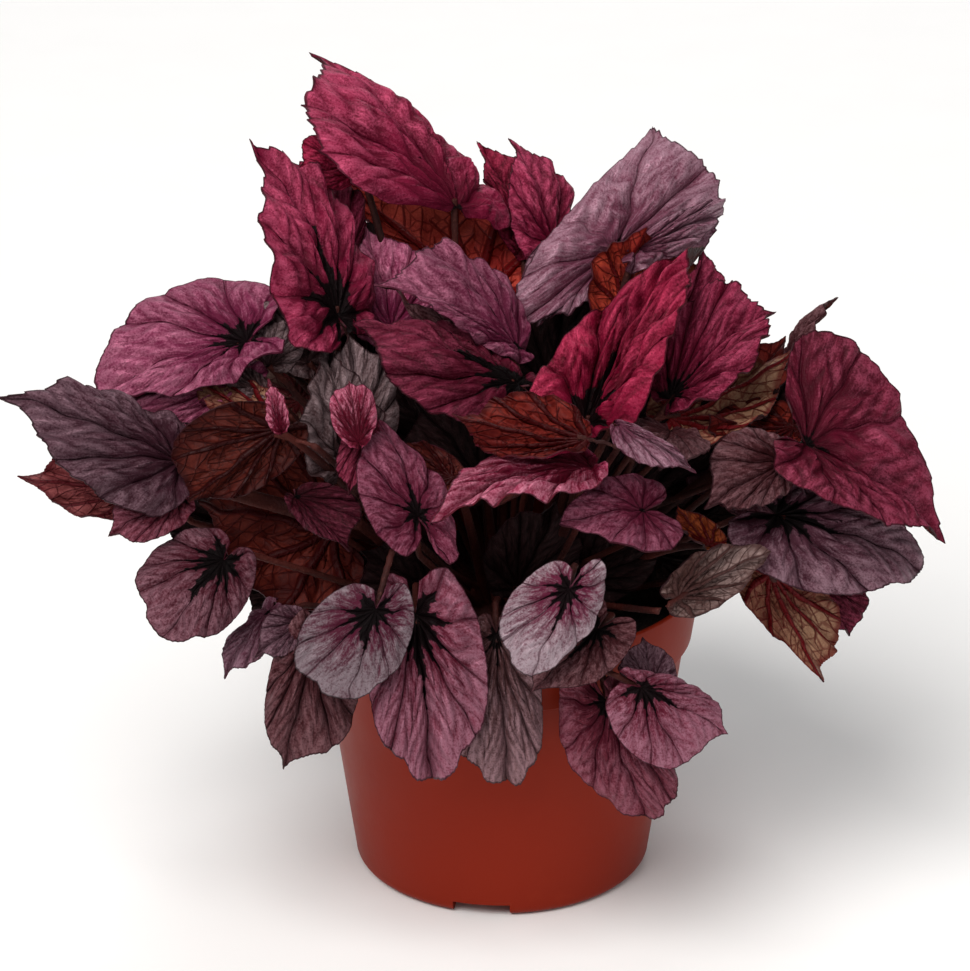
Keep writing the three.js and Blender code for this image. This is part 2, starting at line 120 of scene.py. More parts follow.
# Shader maths: a wire is a node's output, and a sum with a wire adds a node.
def linear(colour):
    # a colour given as 0-255 values, as a shader's linear colour
    steps = [value / 255 for value in colour]
    return tuple(s / 12.92 if s <= 0.04045 else ((s + 0.055) / 1.055) ** 2.4 for s in steps) + (1.0,)


class Wire:
    def __init__(self, tree, socket):
        self.tree = tree
        self.socket = socket

    def node(self, kind, settings, inputs, output=0):
        made = self.tree.nodes.new(kind)
        for key, value in settings.items():
            setattr(made, key, value)
        for key, value in inputs.items():
            if isinstance(value, Wire):
                self.tree.links.new(value.socket, made.inputs[key])
            elif value is not None:
                made.inputs[key].default_value = value
        return Wire(self.tree, made.outputs[output])

    def maths(self, operation, *values):
        return self.node("ShaderNodeMath", {"operation": operation}, dict(enumerate(values)))

    def __add__(self, other):
        return self.maths("ADD", self, other)

    def __radd__(self, other):
        return self.maths("ADD", other, self)

    def __sub__(self, other):
        return self.maths("SUBTRACT", self, other)

    def __rsub__(self, other):
        return self.maths("SUBTRACT", other, self)

    def __mul__(self, other):
        return self.maths("MULTIPLY", self, other)

    def __truediv__(self, other):
        return self.maths("DIVIDE", self, other)


# The same functions serve numbers in arrays, for the relief, and wires, for the colour.
def smaller(a, b):
    return a.maths("MINIMUM", a, b) if isinstance(a, Wire) else np.minimum(a, b)


def bigger(a, b):
    return a.maths("MAXIMUM", a, b) if isinstance(a, Wire) else np.maximum(a, b)


def positive(a):
    return a.maths("ABSOLUTE", a) if isinstance(a, Wire) else np.abs(a)


def below(a, b):
    return a.maths("LESS_THAN", a, b) if isinstance(a, Wire) else (a < b).astype(float)


def fraction(a):
    return a.maths("FRACT", a) if isinstance(a, Wire) else a - np.floor(a)


def root(a):
    return a.maths("SQRT", a) if isinstance(a, Wire) else np.sqrt(a)


def ramp(a, low, high):
    # 0 at low, 1 at high, smooth between; low may be the larger
    if isinstance(a, Wire):
        inputs = {"Value": a, "From Min": low, "From Max": high}
        return a.node("ShaderNodeMapRange", {"interpolation_type": "SMOOTHSTEP"}, inputs)
    share = np.clip((a - low) / (high - low), 0, 1)
    return share * share * (3 - 2 * share)


def blend(factor, first, second):
    # two colours mixed; a factor is a wire or a number
    settings = {"data_type": "RGBA", "blend_type": "MIX", "clamp_factor": True}
    wire = next(value for value in (factor, first, second) if isinstance(value, Wire))
    return wire.node("ShaderNodeMix", settings, {0: factor, 6: first, 7: second}, 2)


class Paint:
    # a new material, its shader and what a pattern reads
    def __init__(self, name, **sockets):
        self.material = bpy.data.materials.new(name)
        self.material.use_nodes = True
        self.tree = self.material.node_tree
        self.shader = self.tree.nodes["Principled BSDF"]
        for key, value in sockets.items():
            self.shader.inputs[key.replace("_", " ")].default_value = value
        self.start = Wire(self.tree, None)

    def place(self):
        return self.start.node("ShaderNodeTexCoord", {}, {}, "Object")

    def flat(self, name):
        # the two coordinates of a UV map
        inputs = {0: self.start.node("ShaderNodeUVMap", {"uv_map": name}, {})}
        return [self.start.node("ShaderNodeSeparateXYZ", {}, inputs, k) for k in range(2)]

    def value(self, name):
        return self.start.node("ShaderNodeAttribute", {"attribute_name": name}, {}, "Fac")

    def noise(self, place, scale, detail=3.0, roughness=0.5):
        inputs = {"Vector": place, "Scale": scale, "Detail": detail, "Roughness": roughness}
        return self.start.node("ShaderNodeTexNoise", {}, inputs, "Fac")

    def streaks(self, turn, radius, cloud, scales):
        # noise drawn out along rays from the joint
        inputs = {0: turn * scales[0], 1: radius * scales[1], 2: cloud * scales[2]}
        return self.noise(self.start.node("ShaderNodeCombineXYZ", {}, inputs), 1, 3, 0.6)

    def cells(self, place, scale):
        # distance to the edges of a net of cells
        inputs = {"Vector": place, "Scale": scale}
        return self.start.node("ShaderNodeTexVoronoi", {"feature": "DISTANCE_TO_EDGE"}, inputs, "Distance")

    def set(self, name, wire):
        self.tree.links.new(wire.socket, self.shader.inputs[name])

    def bump(self, height, distance, strength):
        inputs = {"Height": height, "Distance": distance, "Strength": strength}
        self.set("Normal", self.start.node("ShaderNodeBump", {}, inputs))


# Camera, light and floor.
view = {
    "distance": 1.5, "rise": math.radians(24.4), "aim": (-0.0053, 0, 0.122), "lens": 186.5, "farthest": 20,
}
upwards = np.array([0, math.sin(view["rise"]), math.cos(view["rise"])])
towardsEye = np.array([0, -math.cos(view["rise"]), math.sin(view["rise"])])
aim = np.array(view["aim"])
eye = aim + view["distance"] * towardsEye

cameraData = bpy.data.cameras.new("camera")
cameraData.lens = view["lens"]
cameraData.sensor_fit = "HORIZONTAL"
cameraData.clip_end = view["farthest"]
camera = bpy.data.objects.new("camera", cameraData)
camera.location = eye + potAxis
camera.rotation_euler = (math.pi / 2 - view["rise"], 0, 0)
bpy.context.scene.collection.objects.link(camera)
bpy.context.scene.camera = camera
bpy.context.scene.view_settings.view_transform = "Standard"

lights = {
    "key": {"place": (-0.7, -1.15, 2.0), "size": 2.0, "power": 58, "colour": (1.0, 0.97, 0.94)},
    "fill": {"place": (1.4, -1.2, 0.9), "size": 1.4, "power": 4, "colour": (1.0, 0.98, 0.96)},
    "rear": {"place": (0.3, 1.5, 1.4), "size": 1.0, "power": 10, "colour": (1.0, 1.0, 1.0)},
}
studio = {
    "lightsAim": (0, 0, 0.11), "worldStrength": 0.27, "floorSize": 12, "floorDrop": 0.2 * mm,
    "floorTones": (251, 255), "floorGrain": 30,
}
for lightName, light in lights.items():
    lamp = bpy.data.lights.new(lightName, "AREA")
    lamp.shape = "DISK"
    lamp.size = light["size"]
    lamp.energy = light["power"]
    lamp.color = light["colour"]
    lampObject = bpy.data.objects.new(lightName, lamp)
    lampObject.location = light["place"]
    direction = Vector(studio["lightsAim"]) - Vector(light["place"])
    lampObject.rotation_euler = direction.to_track_quat("-Z", "Y").to_euler()
    bpy.context.scene.collection.objects.link(lampObject)

world = bpy.data.worlds.new("studio")
world.use_nodes = True
background = world.node_tree.nodes["Background"]
background.inputs["Color"].default_value = (1, 1, 1, 1)
background.inputs["Strength"].default_value = studio["worldStrength"]
bpy.context.scene.world = world

floorPaint = Paint("floorPaint", Roughness=0.9)
floorGrain = floorPaint.noise(floorPaint.place(), studio["floorGrain"], 2)
floorPaint.set("Base Color", blend(floorGrain, *[linear([tone] * 3) for tone in studio["floorTones"]]))
deselectAll()
bpy.ops.mesh.primitive_plane_add(size=studio["floorSize"], location=(0, 0, -studio["floorDrop"]))
floor = added("floor")
floor.data.materials.append(floorPaint.material)
print("camera, lights and floor are set")


# The leaves' places, as the part places them. Lengths are shares of the midrib.
leaf = {
    "cornerOut": 0.56, "cornerAlong": 0.24, "innerRing": 0.55, "foldWidth": 0.2,
    "arch": 0.09, "puff": 0.035, "wave": 0.022, "phaseStep": 2.4,
}
halfOutline = np.array([
    [0, 1], [0.045, 0.87], [0.15, 0.78], [0.24, 0.67], [0.4, 0.58], [0.46, 0.41], [0.56, 0.24],
    [0.52, 0.04], [0.53, -0.14], [0.41, -0.26], [0.31, -0.38], [0.17, -0.35], [0.06, -0.22],
])

# Joint, tip, left and right corner as across, up and near in mm; how far the lobes behind the joint reach;
# which face shows; the part's colour; and the look here.
frontLeaves = [
    [(26, 118, 62), (-22, 101, 68), (12, 105, 72), (-2, 119, 58), 0.4, "top", "pink", "bright"],
    [(42, 51, 58), (67, 37, 46), (56, 51, 46), (44, 27, 48), 1, "top", "pink", "rose"],
    [(-38, 74, 66), (-46, 46, 60), (-28, 62, 62), (-63, 62, 56), 1, "top", "silver", "silver"],
    [(20, 80, 72), (8, 53, 67), (28, 72, 66), (-1, 72, 64), 1, "top", "silver", "silver"],
    [(-25, 103, 62), (-37, 132, 44), (-44, 108, 58), (-16, 103, 56), 1, "top", "magenta", "magenta"],
    [(42, 104, 56), (16, 100, 62), (42, 90, 64), (32, 114, 52), 1, "top", "magenta", "magenta"],
    [(24, 131, 56), (60, 184, 22), (13, 146.5, 46), (54, 153, 52), 0.4, "top", "crimson", "scarlet"],
    [(-43, 124, 60), (-46, 142.5, 54), (-52, 134, 56), (-38, 137, 56), 0.5, "top", "pink", "bright"],
    [(50, 128, 46), (47, 116, 62), (62, 120, 52), (34, 128, 50), 0.6, "top", "grey", "dusk"],
    [(25, 124, 64), (-15, 132, 60), (0, 121, 58), (6, 141, 62), 0.3, "under", "brick", "scarlet"],
    [(-46, 118, 44), (-53.5, 157, 30), (-62, 130, 52), (-35, 134, 50), 0.5, "top", "grey", "slate"],
    [(-66, 128, 48), (-94, 106, 58), (-71, 110, 50), (-97, 128, 56), 0.7, "under", "brick", "dusk"],
    [(-83.5, 89, 52), (-102, 64.5, 56), (-81, 69, 52), (-108.5, 87, 46), 1, "top", "mauve", "rosedark"],
    [(-96, 119, 50), (-150.5, 138.5, 52), (-121, 106, 56), (-110, 135, 42), 0.4, "top", "mauve", "plum"],
    [(-97, 107, 50), (-118, 96, 50), (-104, 94, 52), (-112, 111, 46), 0.8, "top", "pink", "mauve"],
    [(-62, 108, 48), (-46, 92, 54), (-42, 106, 50), (-58, 97, 52), 0.6, "top", "crimson", "wine"],
    [(-69, 131, 48), (-95, 145, 44), (-84, 133, 50), (-76, 144, 42), 0.6, "under", "olive", "magenta"],
    [(-26, 72, 57), (-20.8, 21.5, 41), (-3, 50, 50), (-40, 44, 49), 1, "top", "pink", "rose"],
    [(28, 68, 58), (8, 49, 54), (32, 55, 56), (10, 70, 54), 1, "top", "grey", "dusk"],
    [(31, 46, 46), (43, 11.5, 28), (52, 26, 32), (19, 32, 32), 1, "top", "mauve", "mauve"],
    [(-2, 66, 50), (2, 20.5, 29), (12.5, 43, 38), (-16, 42, 36), 0.6, "top", "grey", "taupe"],
    [(-57, 65, 48), (-65.5, 26, 36), (-44, 42, 38), (-71, 50, 42), 0.8, "top", "mauve", "dusk"],
    [(5, 143, 44), (-45, 158.5, 32), (-24, 132, 48), (-12, 152, 30), 0.5, "top", "crimson", "crimson"],
    [(5, 153, 30), (-38, 172.5, 34), (-10, 154, 34), (-12, 181, 14), 0.4, "top", "pink", "pink"],
    [(34.5, 183, 8), (45, 219, -14), (3, 170, 18), (66, 193, -8), 0.7, "top", "silver", "lilac"],
    [(37, 162, 10), (42.5, 189, 22), (26, 174, 20), (53, 176, 4), 0.8, "under", "amber", "wine"],
    [(-77.5, 155, 42), (-123, 135.5, 36), (-100, 135, 48), (-102, 168.5, 22), 1, "top", "magenta", "pink"],
    [(92, 124, 36), (132.5, 94, 22), (106, 152, 18), (98, 103, 42), 0.6, "top", "crimson", "wine"],
    [(50, 138, 36), (81, 164, 20), (58, 169, 18), (77, 148, 34), 0.6, "top", "crimson", "crimson"],
    [(84, 118, 36), (60, 104, 46), (76, 103, 46), (64, 125, 38), 0.7, "top", "mauve", "dusk"],
    [(50, 130, 30), (88, 152, 12), (60, 150, 14), (75, 130, 28), 0.6, "under", "olive", "dusk"],
    [(83, 103, 30), (128, 86, 6), (100, 111, 12), (91, 78, 26), 0.8, "top", "grey", "plum"],
    [(52, 78, 46), (81, 92, 40), (61, 92, 46), (68, 76, 42), 0.6, "under", "grey", "slate"],
    [(79.5, 85, 16), (95, 52.5, 12), (103, 70, 4), (71, 76.5, 14), 0.5, "under", "olive", "wine"],
    [(-48, 163, 28), (-74.5, 214.5, 10), (-71.5, 170, 36), (-45, 186, 8), 0.5, "top", "crimson", "crimson"],
    [(-105, 110, 38), (-145, 113.5, 36), (-122, 101.5, 40), (-124, 124, 34), 0.6, "under", "brick", "wine"],
    [(-70, 74, 36), (-84, 54, 40), (-72, 59, 40), (-79, 67, 34), 0.8, "top", "mauve", "lilac"],
    [(84, 149, 12), (100.5, 167, 4), (89.5, 156, 4), (94.5, 157.5, 12), 0.5, "top", "mauve", "dusk"],
    [(-33, 158, 8), (-41, 189, 0), (-48, 168, 8), (-20, 174, 0), 0.6, "top", "pink", "pink"],
    [(-50, 98, 18), (-92, 106, 30), (-66, 74, 26), (-62, 124, 18), 0.7, "under", "brick", "wine"],
    [(-12, 196, 6), (-57.5, 239.8, -8), (-58, 210, 20), (-8, 198, -10), 0.1, "top", "crimson", "crimson"],
    [(16, 182, 0), (2.8, 216, -8), (2, 188, 0), (20, 193, -14), 0.5, "top", "crimson", "crimson"],
    [(8, 183, -8), (-7.6, 214.5, -14), (-4, 192, -8), (16, 194, -18), 0.5, "top", "crimson", "scarlet"],
    [(-8, 168, -8), (-49, 206, -10), (-30, 182, -6), (3, 200, -18), 0.6, "under", "brick", "crimson"],
    [(-60, 136, 8), (-90, 153, -2), (-80, 130, 4), (-62, 162, -8), 0.6, "under", "grey", "slate"],
]

# Turn from straight back, radius and height of the joint and of the tip, width, colour, look.
backLeaves = [
    [-45, 54, 164, 98, 154, 1.05, "crimson", "crimson"],
    [4, 58, 168, 104, 157, 1.05, "magenta", "pink"],
    [50, 54, 164, 98, 150, 1.05, "pink", "magenta"],
    [-78, 70, 128, 118, 112, 1, "magenta", "magenta"],
    [-37, 68, 134, 119, 115, 1.05, "pink", "rose"],
    [2, 71, 136, 122, 113, 1, "mauve", "wine"],
    [40, 68, 134, 119, 111, 1.05, "crimson", "crimson"],
    [76, 70, 130, 118, 110, 1, "mauve", "rosedark"],
    [-60, 76, 103, 109, 66, 1.05, "silver", "silver"],
    [-20, 77, 102, 108, 60, 1.1, "pink", "rose"],
    [20, 77, 102, 109, 58, 1.1, "silver", "silver"],
    [57, 76, 104, 109, 66, 1.05, "magenta", "rosedark"],
]

usual = {"blotch": 0.22, "shade": 0.7, "smallShade": 0.8}

# How far the black blotch at the joint reaches, in midribs, where it isn't the usual share.
blotches = {
    1: 0.03, 2: 0.26, 3: 0.3, 4: 0.28, 5: 0.22, 6: 0.08, 7: 0.26, 8: 0, 9: 0.04, 11: 0, 13: 0.34,
    14: 0.04, 15: 0.26, 16: 0.1, 18: 0.3, 19: 0.3, 20: 0.2, 21: 0.12, 22: 0.08, 23: 0.3, 24: 0.06,
    25: 0.08, 27: 0.2, 28: 0.07, 29: 0.18, 30: 0.1, 32: 0.25, 33: 0.1, 35: 0.3, 37: 0.1, 38: 0,
    39: 0.04, 41: 0.04, 42: 0.1, 43: 0.1,
}

# How much of its look's brightness a leaf keeps, where it isn't the usual share: partly the leaf's own tone
# and partly painted light and shade, set for how brightly each leaf is lit.
toneAndPaintedLight = {
    1: 0.7, 2: 0.74, 3: 0.38, 4: 0.62, 5: 0.66, 6: 0.67, 7: 0.62, 8: 0.78, 9: 0.6, 10: 0.7, 11: 0.65,
    12: 0.46, 13: 0.54, 14: 0.63, 15: 0.92, 16: 0.32, 18: 0.72, 19: 0.88, 20: 0.94, 21: 0.82, 22: 0.78,
    23: 0.42, 24: 0.52, 25: 0.9, 26: 0.82, 27: 0.72, 28: 0.84, 29: 0.85, 30: 0.82, 31: 1, 32: 1, 33: 0.72,
    34: 0.82, 35: 0.82, 36: 0.92, 37: 0.74, 38: 0.8, 39: 1, 40: 0.95, 41: 0.96, 42: 0.88, 43: 0.46, 44: 1,
    45: 1,
}

# The shifts that the part tries, in mm.
slides = [0, -3, -6, -9, -12, -15, -18, -21, -24, -27, -30, -34, -38, 3, 6, 9, 12]
tips = [0, 7, -7, 14, -14]
leans = [0, 8, -8]


def unit(vector):
    return vector / (np.linalg.norm(vector, axis=-1, keepdims=True) + 1e-12)


def seen(across, up, near):
    # the point that the camera sees so far across and up, and so much nearer than the plant's middle
    place = aim + upwards * (up * mm - aim @ upwards)
    place[0] += across * mm - aim[0]
    return place + (eye - place) * (near * mm / view["distance"])


def bladeShape(joint, tip, left, right, back, index):
    axis = tip - joint
    across = [(corner - joint - leaf["cornerAlong"] * axis) / leaf["cornerOut"] for corner in (left, right)]
    normals = [unit(np.cross(axis, across[0])), unit(np.cross(across[1], axis))]
    length = np.linalg.norm(axis)
    return {
        "joint": joint, "axis": axis, "across": across, "normals": normals, "back": back,
        "normal": unit(normals[0] + normals[1]), "length": length, "index": index,
        "phase": index * leaf["phaseStep"],
    }


def bladePoints(shape, out, along, reach):
    # points on the blade's middle surface, and its normals there before any lift
    right = (out >= 0)[:, None]
    distance = np.abs(out)
    share = np.minimum(1, distance / leaf["foldWidth"])[:, None]
    side = np.where(right, shape["normals"][1], shape["normals"][0])
    across = np.where(right, shape["across"][1], shape["across"][0])
    normal = unit(shape["normal"] * (1 - share) + side * share)
    span = np.minimum(1, distance / leaf["cornerOut"])
    lift = shape["length"] * (
        leaf["arch"] * np.sin(np.pi * along)
        + leaf["puff"] * 4 * span * (1 - span)
        + leaf["wave"] * reach * reach * np.sin(5 * np.arctan2(out, along) + shape["phase"])
    )
    flat = shape["joint"] + along[:, None] * shape["axis"] + distance[:, None] * across
    return flat + normal * lift[:, None], normal


def coarseOutline(back):
    right = halfOutline.copy()
    right[right[:, 1] < 0, 1] *= back
    left = right[:0:-1] * [-1, 1]
    return np.vstack([left, right])


def coarseBox(shape):
    # the box of the part's own blade, but for its thickness
    outline = coarseOutline(shape["back"])
    inner = outline[::2] * leaf["innerRing"]
    out = np.concatenate([outline[:, 0], inner[:, 0], [0]])
    along = np.concatenate([outline[:, 1], inner[:, 1], [0]])
    reach = np.concatenate([np.ones(len(outline)), np.full(len(inner), leaf["innerRing"]), [0]])
    points = bladePoints(shape, out, along, reach)[0] + potAxis
    return np.concatenate([points.min(0), points.max(0)])


def frontShape(row, slide, tip, lean, index):
    joint, end, left, right, back, face = row[:6]
    shifted = []
    for (across, up, near), more in ((joint, 0), (end, tip), (left, lean), (right, -lean)):
        shifted.append(seen(across, up, near + slide + more))
    first, last, one, other = shifted
    if face == "under":
        one, other = other, one
    return bladeShape(first, last, one, other, back, index)


backLeaf = {"rightWidth": 1.05, "leftWidth": 1.2, "droop": 0.25}


def backShape(row, slide, tip, lean, index):
    turn, jointRadius, jointHeight, tipRadius, tipHeight, width = row[:6]
    angle = math.radians(turn)
    outward = np.array([math.sin(angle), math.cos(angle), 0])
    sideways = np.array([math.cos(angle), -math.sin(angle), 0])
    upright = np.array([0, 0, 1])
    joint = (outward * (jointRadius + slide) + upright * (jointHeight + slide / 2)) * mm
    end = (outward * (tipRadius + slide) + upright * (tipHeight + slide / 2 + tip)) * mm
    axis = end - joint
    reach = leaf["cornerOut"] * np.linalg.norm(axis) * width
    corner = joint + axis * leaf["cornerAlong"]
    drop = reach * backLeaf["droop"]
    right = corner + sideways * reach * backLeaf["rightWidth"] - upright * (drop + lean * mm)
    left = corner - sideways * reach * backLeaf["leftWidth"] - upright * (drop - lean * mm)
    return bladeShape(joint, end, left, right, 1, index)


def placedShape(row, makeShape, index):
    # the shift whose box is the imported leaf's
    low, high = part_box(f"leaf_{index + 1:02d}")
    target = np.array([*low, *high])
    best = None
    for slide in slides:
        for tip in tips:
            for lean in leans:
                shape = makeShape(row, slide, tip, lean, index)
                miss = np.abs(coarseBox(shape) - target).max()
                if best is None or miss < best[0]:
                    best = (miss, shape)
    return best


shapes = []
worst = 0
rows = [(row, frontShape) for row in frontLeaves] + [(row, backShape) for row in backLeaves]
for index, (row, makeShape) in enumerate(rows):
    miss, shape = placedShape(row, makeShape, index)
    shape.update({
        "colour": row[6], "look": row[7], "face": row[5] if makeShape is frontShape else "top",
        "blotch": blotches.get(index + 1, usual["blotch"]), "shade": toneAndPaintedLight.get(index + 1, usual["shade"]),
        "backSide": "red",
    })
    shapes.append(shape)
    worst = max(worst, miss)
print(f"leaves placed, worst miss {worst / mm:.2f} mm")


# The veins: one function for the relief and for the colour. The ends are those of one half's main veins,
# in midribs from the joint.
veins = {
    "ends": [(0.0, 1.0), (0.4, 0.58), (0.56, 0.24), (0.53, -0.14), (0.31, -0.38)],
    "sidesPerMidrib": 8.0, "sideSlope": 0.95, "behind": 3,
}


def veinField(out, along):
    # distance to the nearest main vein, distance to the nearest side vein in their spacing, and radius
    side = positive(out)
    radius = root(side * side + along * along)
    nearest = None
    for dx, dy in veins["ends"]:
        size = math.hypot(dx, dy)
        dx, dy = dx / size, dy / size
        run = side * dx + along * dy
        gap = side * dy - along * dx
        away = positive(gap) + bigger(0 - run, run * 0) * veins["behind"]
        if nearest is None:
            nearest, bestRun, bestGap = away, run, gap
        else:
            closer = below(away, nearest)
            nearest = smaller(nearest, away)
            bestRun = bestRun + closer * (run - bestRun)
            bestGap = bestGap + closer * (gap - bestGap)
    stagger = below(bestGap, 0) * 0.5
    step = (bestRun - positive(bestGap) * veins["sideSlope"]) * veins["sidesPerMidrib"] + stagger
    sideGap = positive(fraction(step + 0.5) - 0.5)
    return nearest, sideGap, radius


wander = {"broad": 0.018, "small": 0.010, "calmRadius": 0.25}


def warped(out, along, index):
    # a little wander, so that no two leaves have the same veins
    seed = index * 1.7
    bend = (wander["broad"] * np.sin(9 * along + 3 * out + seed)
            + wander["small"] * np.sin(21 * along - 13 * out + 2 * seed))
    drift = (wander["broad"] * np.sin(8 * out - 4 * along + 1.3 * seed)
             + wander["small"] * np.sin(19 * out + 11 * along + seed))
    fade = np.clip(np.hypot(out, along) / wander["calmRadius"], 0, 1)
    return out + bend * fade, along + drift * fade


# A fine blade. Depths are shares of the midrib, and a blade of the usual length has the full grid.
fine = {
    "around": 176, "outwards": 24, "usualLength": 0.045, "leastGrid": 0.6, "mostAround": 1.15,
    "mostOutwards": 1.2, "thickness": 0.5 * mm, "teeth": 31, "fewTeeth": 19, "toothDepth": 0.016,
    "soften": 0.25, "mainGroove": 0.045, "sidePuff": 0.022, "crumple": 0.020, "ruffle": 0.034,
    "calmRuffle": 0.3, "sharpAngle": 60,
}
bluntTip = [(0, 0.96), (0.10, 0.90), (0.20, 0.80)]
bluntLeaves = [3, 4, 6, 13, 18, 20, 21, 27, 32, 33, 45]
calmLeaves = [2, 3, 4, 5, 6, 13, 18, 19, 20, 21, 22, 25, 27, 28, 32, 41]
# Leaves with fewer and deeper teeth, and how deep they are.
jaggedLeaves = {
    14: 0.026, 24: 0.036, 25: 0.045, 28: 0.026, 29: 0.04, 35: 0.04, 41: 0.034, 42: 0.04, 43: 0.04,
}


def fineOutline(back, turn, index):
    # the edge at turn, from -1 at the left of the notch over 0 at the tip to 1: a smooth line through the
    # outline's corners, with fine teeth that point to the tip
    half = halfOutline.copy()
    half[half[:, 1] < 0, 1] *= back
    half = half + fine["soften"] * np.vstack([[0, 0], half[2:] - 2 * half[1:-1] + half[:-2], [0, 0]])
    if index + 1 in bluntLeaves:
        half[:3] = bluntTip
    steps = np.linalg.norm(np.diff(half, axis=0), axis=1)
    knots = np.concatenate([[0], np.cumsum(steps)]) / steps.sum()
    where = np.abs(turn)
    cell = np.clip(np.searchsorted(knots, where, side="right") - 1, 0, len(half) - 2)
    share = (where - knots[cell]) / (knots[cell + 1] - knots[cell])
    before = np.vstack([half[:1], half])[cell]
    here = half[cell]
    there = half[cell + 1]
    after = np.vstack([half, half[-1:]])[cell + 2]
    s = share[:, None]
    edge = 0.5 * (2 * here + (there - before) * s + (2 * before - 5 * here + 4 * there - after) * s ** 2
                  + (3 * here - before - 3 * there + after) * s ** 3)
    toothDepth = jaggedLeaves.get(index + 1, fine["toothDepth"])
    teeth = fine["fewTeeth"] if index + 1 in jaggedLeaves else fine["teeth"]
    saw = 1 - fraction(where * teeth + 0.3 * np.sin(where * 23 + index))
    jitter = 0.5 + 0.5 * np.sin(where * 57 + index * 3 + np.sign(turn))
    depth = toothDepth * saw * (0.5 + 0.5 * jitter) * np.clip((1 - where) * 12, 0, 1)
    edge = edge * (1 + depth - toothDepth * 0.4)[:, None]
    edge[:, 0] *= np.where(turn < 0, -1, 1)
    return edge


def fineBlade(name, shape, materials):
    # a grid whose one side is drawn together at the joint and whose other side is the leaf's edge
    size = max(fine["leastGrid"], shape["length"] / fine["usualLength"])
    around = int(fine["around"] * min(fine["mostAround"], size))
    around += around % 2
    outwards = int(fine["outwards"] * min(fine["mostOutwards"], size))
    deselectAll()
    bpy.ops.mesh.primitive_grid_add(x_subdivisions=around, y_subdivisions=outwards, size=2)
    piece = added(name)
    grid = pointsOf(piece)
    turn = grid[:, 0]
    reach = (grid[:, 1] + 1) / 2
    edge = fineOutline(shape["back"], turn, shape["index"])
    out = edge[:, 0] * reach
    along = edge[:, 1] * reach
    points, normal = bladePoints(shape, out, along, reach)
    veinOut, veinAlong = warped(out, along, shape["index"])
    mainGap, sideGap, radius = veinField(veinOut, veinAlong)
    edgeFade = 1 - reach ** 6
    relief = -fine["mainGroove"] * (ramp(mainGap, 0.12, 0.0) * 0.7 + ramp(mainGap, 0.025, 0.0) * 0.3)
    relief = relief + fine["sidePuff"] * ramp(sideGap, 0.0, 0.42) * ramp(mainGap, 0.0, 0.05) * edgeFade
    seed = shape["index"] * 0.9
    crumple = np.sin(17 * out + 7 * along + seed) * np.sin(13 * along - 9 * out + 1.7 * seed)
    relief = relief + fine["crumple"] * crumple * ramp(radius, 0.05, 0.3)
    angle = np.arctan2(out, along)
    ruffle = np.sin(13 * angle + 2.3 * seed) * 0.6 + np.sin(23 * angle + seed) * 0.4
    calm = fine["calmRuffle"] if shape["index"] + 1 in calmLeaves else 1
    relief = relief + fine["ruffle"] * calm * ruffle * ramp(reach, 0.55, 1.0)
    points = points + normal * (relief * shape["length"])[:, None]
    setPoints(piece, points + potAxis)

    veinMap = piece.data.uv_layers[0]
    veinMap.name = "veins"
    corners = np.empty(len(piece.data.loops), dtype=np.int32)
    piece.data.loops.foreach_get("vertex_index", corners)
    flat = np.stack([veinOut, veinAlong], axis=1)[corners]
    veinMap.data.foreach_set("uv", flat.astype(np.float32).ravel())
    for key, values in (("reach", reach), ("blotch", shape["blotch"]), ("shade", shape["shade"])):
        mark = piece.data.attributes.new(key, "FLOAT", "POINT")
        mark.data.foreach_set("value", np.full(len(reach), values, dtype=np.float32))
    merged(piece)
    for material in materials:
        piece.data.materials.append(material)
    modified(piece, "SOLIDIFY", thickness=fine["thickness"], offset=0, material_offset=1,
             material_offset_rim=2)
    return smoothed(piece, fine["sharpAngle"])


# The leaves' looks. A top face goes from deep to pale, with silvery dust over it and a heart of its own
# colour round the joint, or along the middle where the edge is pale.
looks = {
    "bright": {"deep": (108, 8, 38), "pale": (176, 46, 90), "dust": (222, 140, 164), "dusty": 0.46,
               "heart": (72, 5, 22), "paleEdge": True},
    "scarlet": {"deep": (84, 3, 24), "pale": (172, 18, 66), "dust": (224, 76, 114), "dusty": 0.32},
    "crimson": {"deep": (76, 6, 28), "pale": (136, 24, 60), "dust": (188, 80, 112), "dusty": 0.34},
    "wine": {"deep": (62, 6, 22), "pale": (112, 22, 48), "dust": (164, 74, 100), "dusty": 0.30},
    "pink": {"deep": (100, 22, 54), "pale": (148, 54, 94), "dust": (200, 122, 150), "dusty": 0.46},
    "magenta": {"deep": (78, 13, 36), "pale": (124, 40, 68), "dust": (168, 100, 124), "dusty": 0.42},
    "mauve": {"deep": (72, 14, 30), "pale": (110, 40, 54), "dust": (150, 92, 108), "dusty": 0.40},
    "taupe": {"deep": (66, 34, 36), "pale": (102, 66, 66), "dust": (166, 130, 138), "dusty": 0.55},
    "rose": {"deep": (90, 20, 40), "pale": (136, 52, 76), "dust": (180, 122, 142), "dusty": 0.56},
    "rosedark": {"deep": (74, 16, 32), "pale": (114, 44, 62), "dust": (168, 120, 134), "dusty": 0.48},
    "silver": {"deep": (104, 48, 68), "pale": (140, 92, 108), "dust": (208, 186, 196), "dusty": 0.70,
               "heart": (118, 30, 66)},
    "lilac": {"deep": (98, 44, 64), "pale": (134, 78, 100), "dust": (178, 138, 154), "dusty": 0.50},
    "plum": {"deep": (56, 22, 34), "pale": (88, 50, 64), "dust": (140, 108, 120), "dusty": 0.44},
    "slate": {"deep": (56, 32, 34), "pale": (92, 66, 68), "dust": (148, 126, 130), "dusty": 0.50},
    "dusk": {"deep": (54, 18, 22), "pale": (88, 42, 48), "dust": (138, 98, 104), "dusty": 0.40},
    # near-black: painted shade for the dim leaves deep inside the plant
    "murk": {"deep": (22, 8, 9), "pale": (40, 18, 20), "dust": (66, 44, 46), "dusty": 0.24},
}
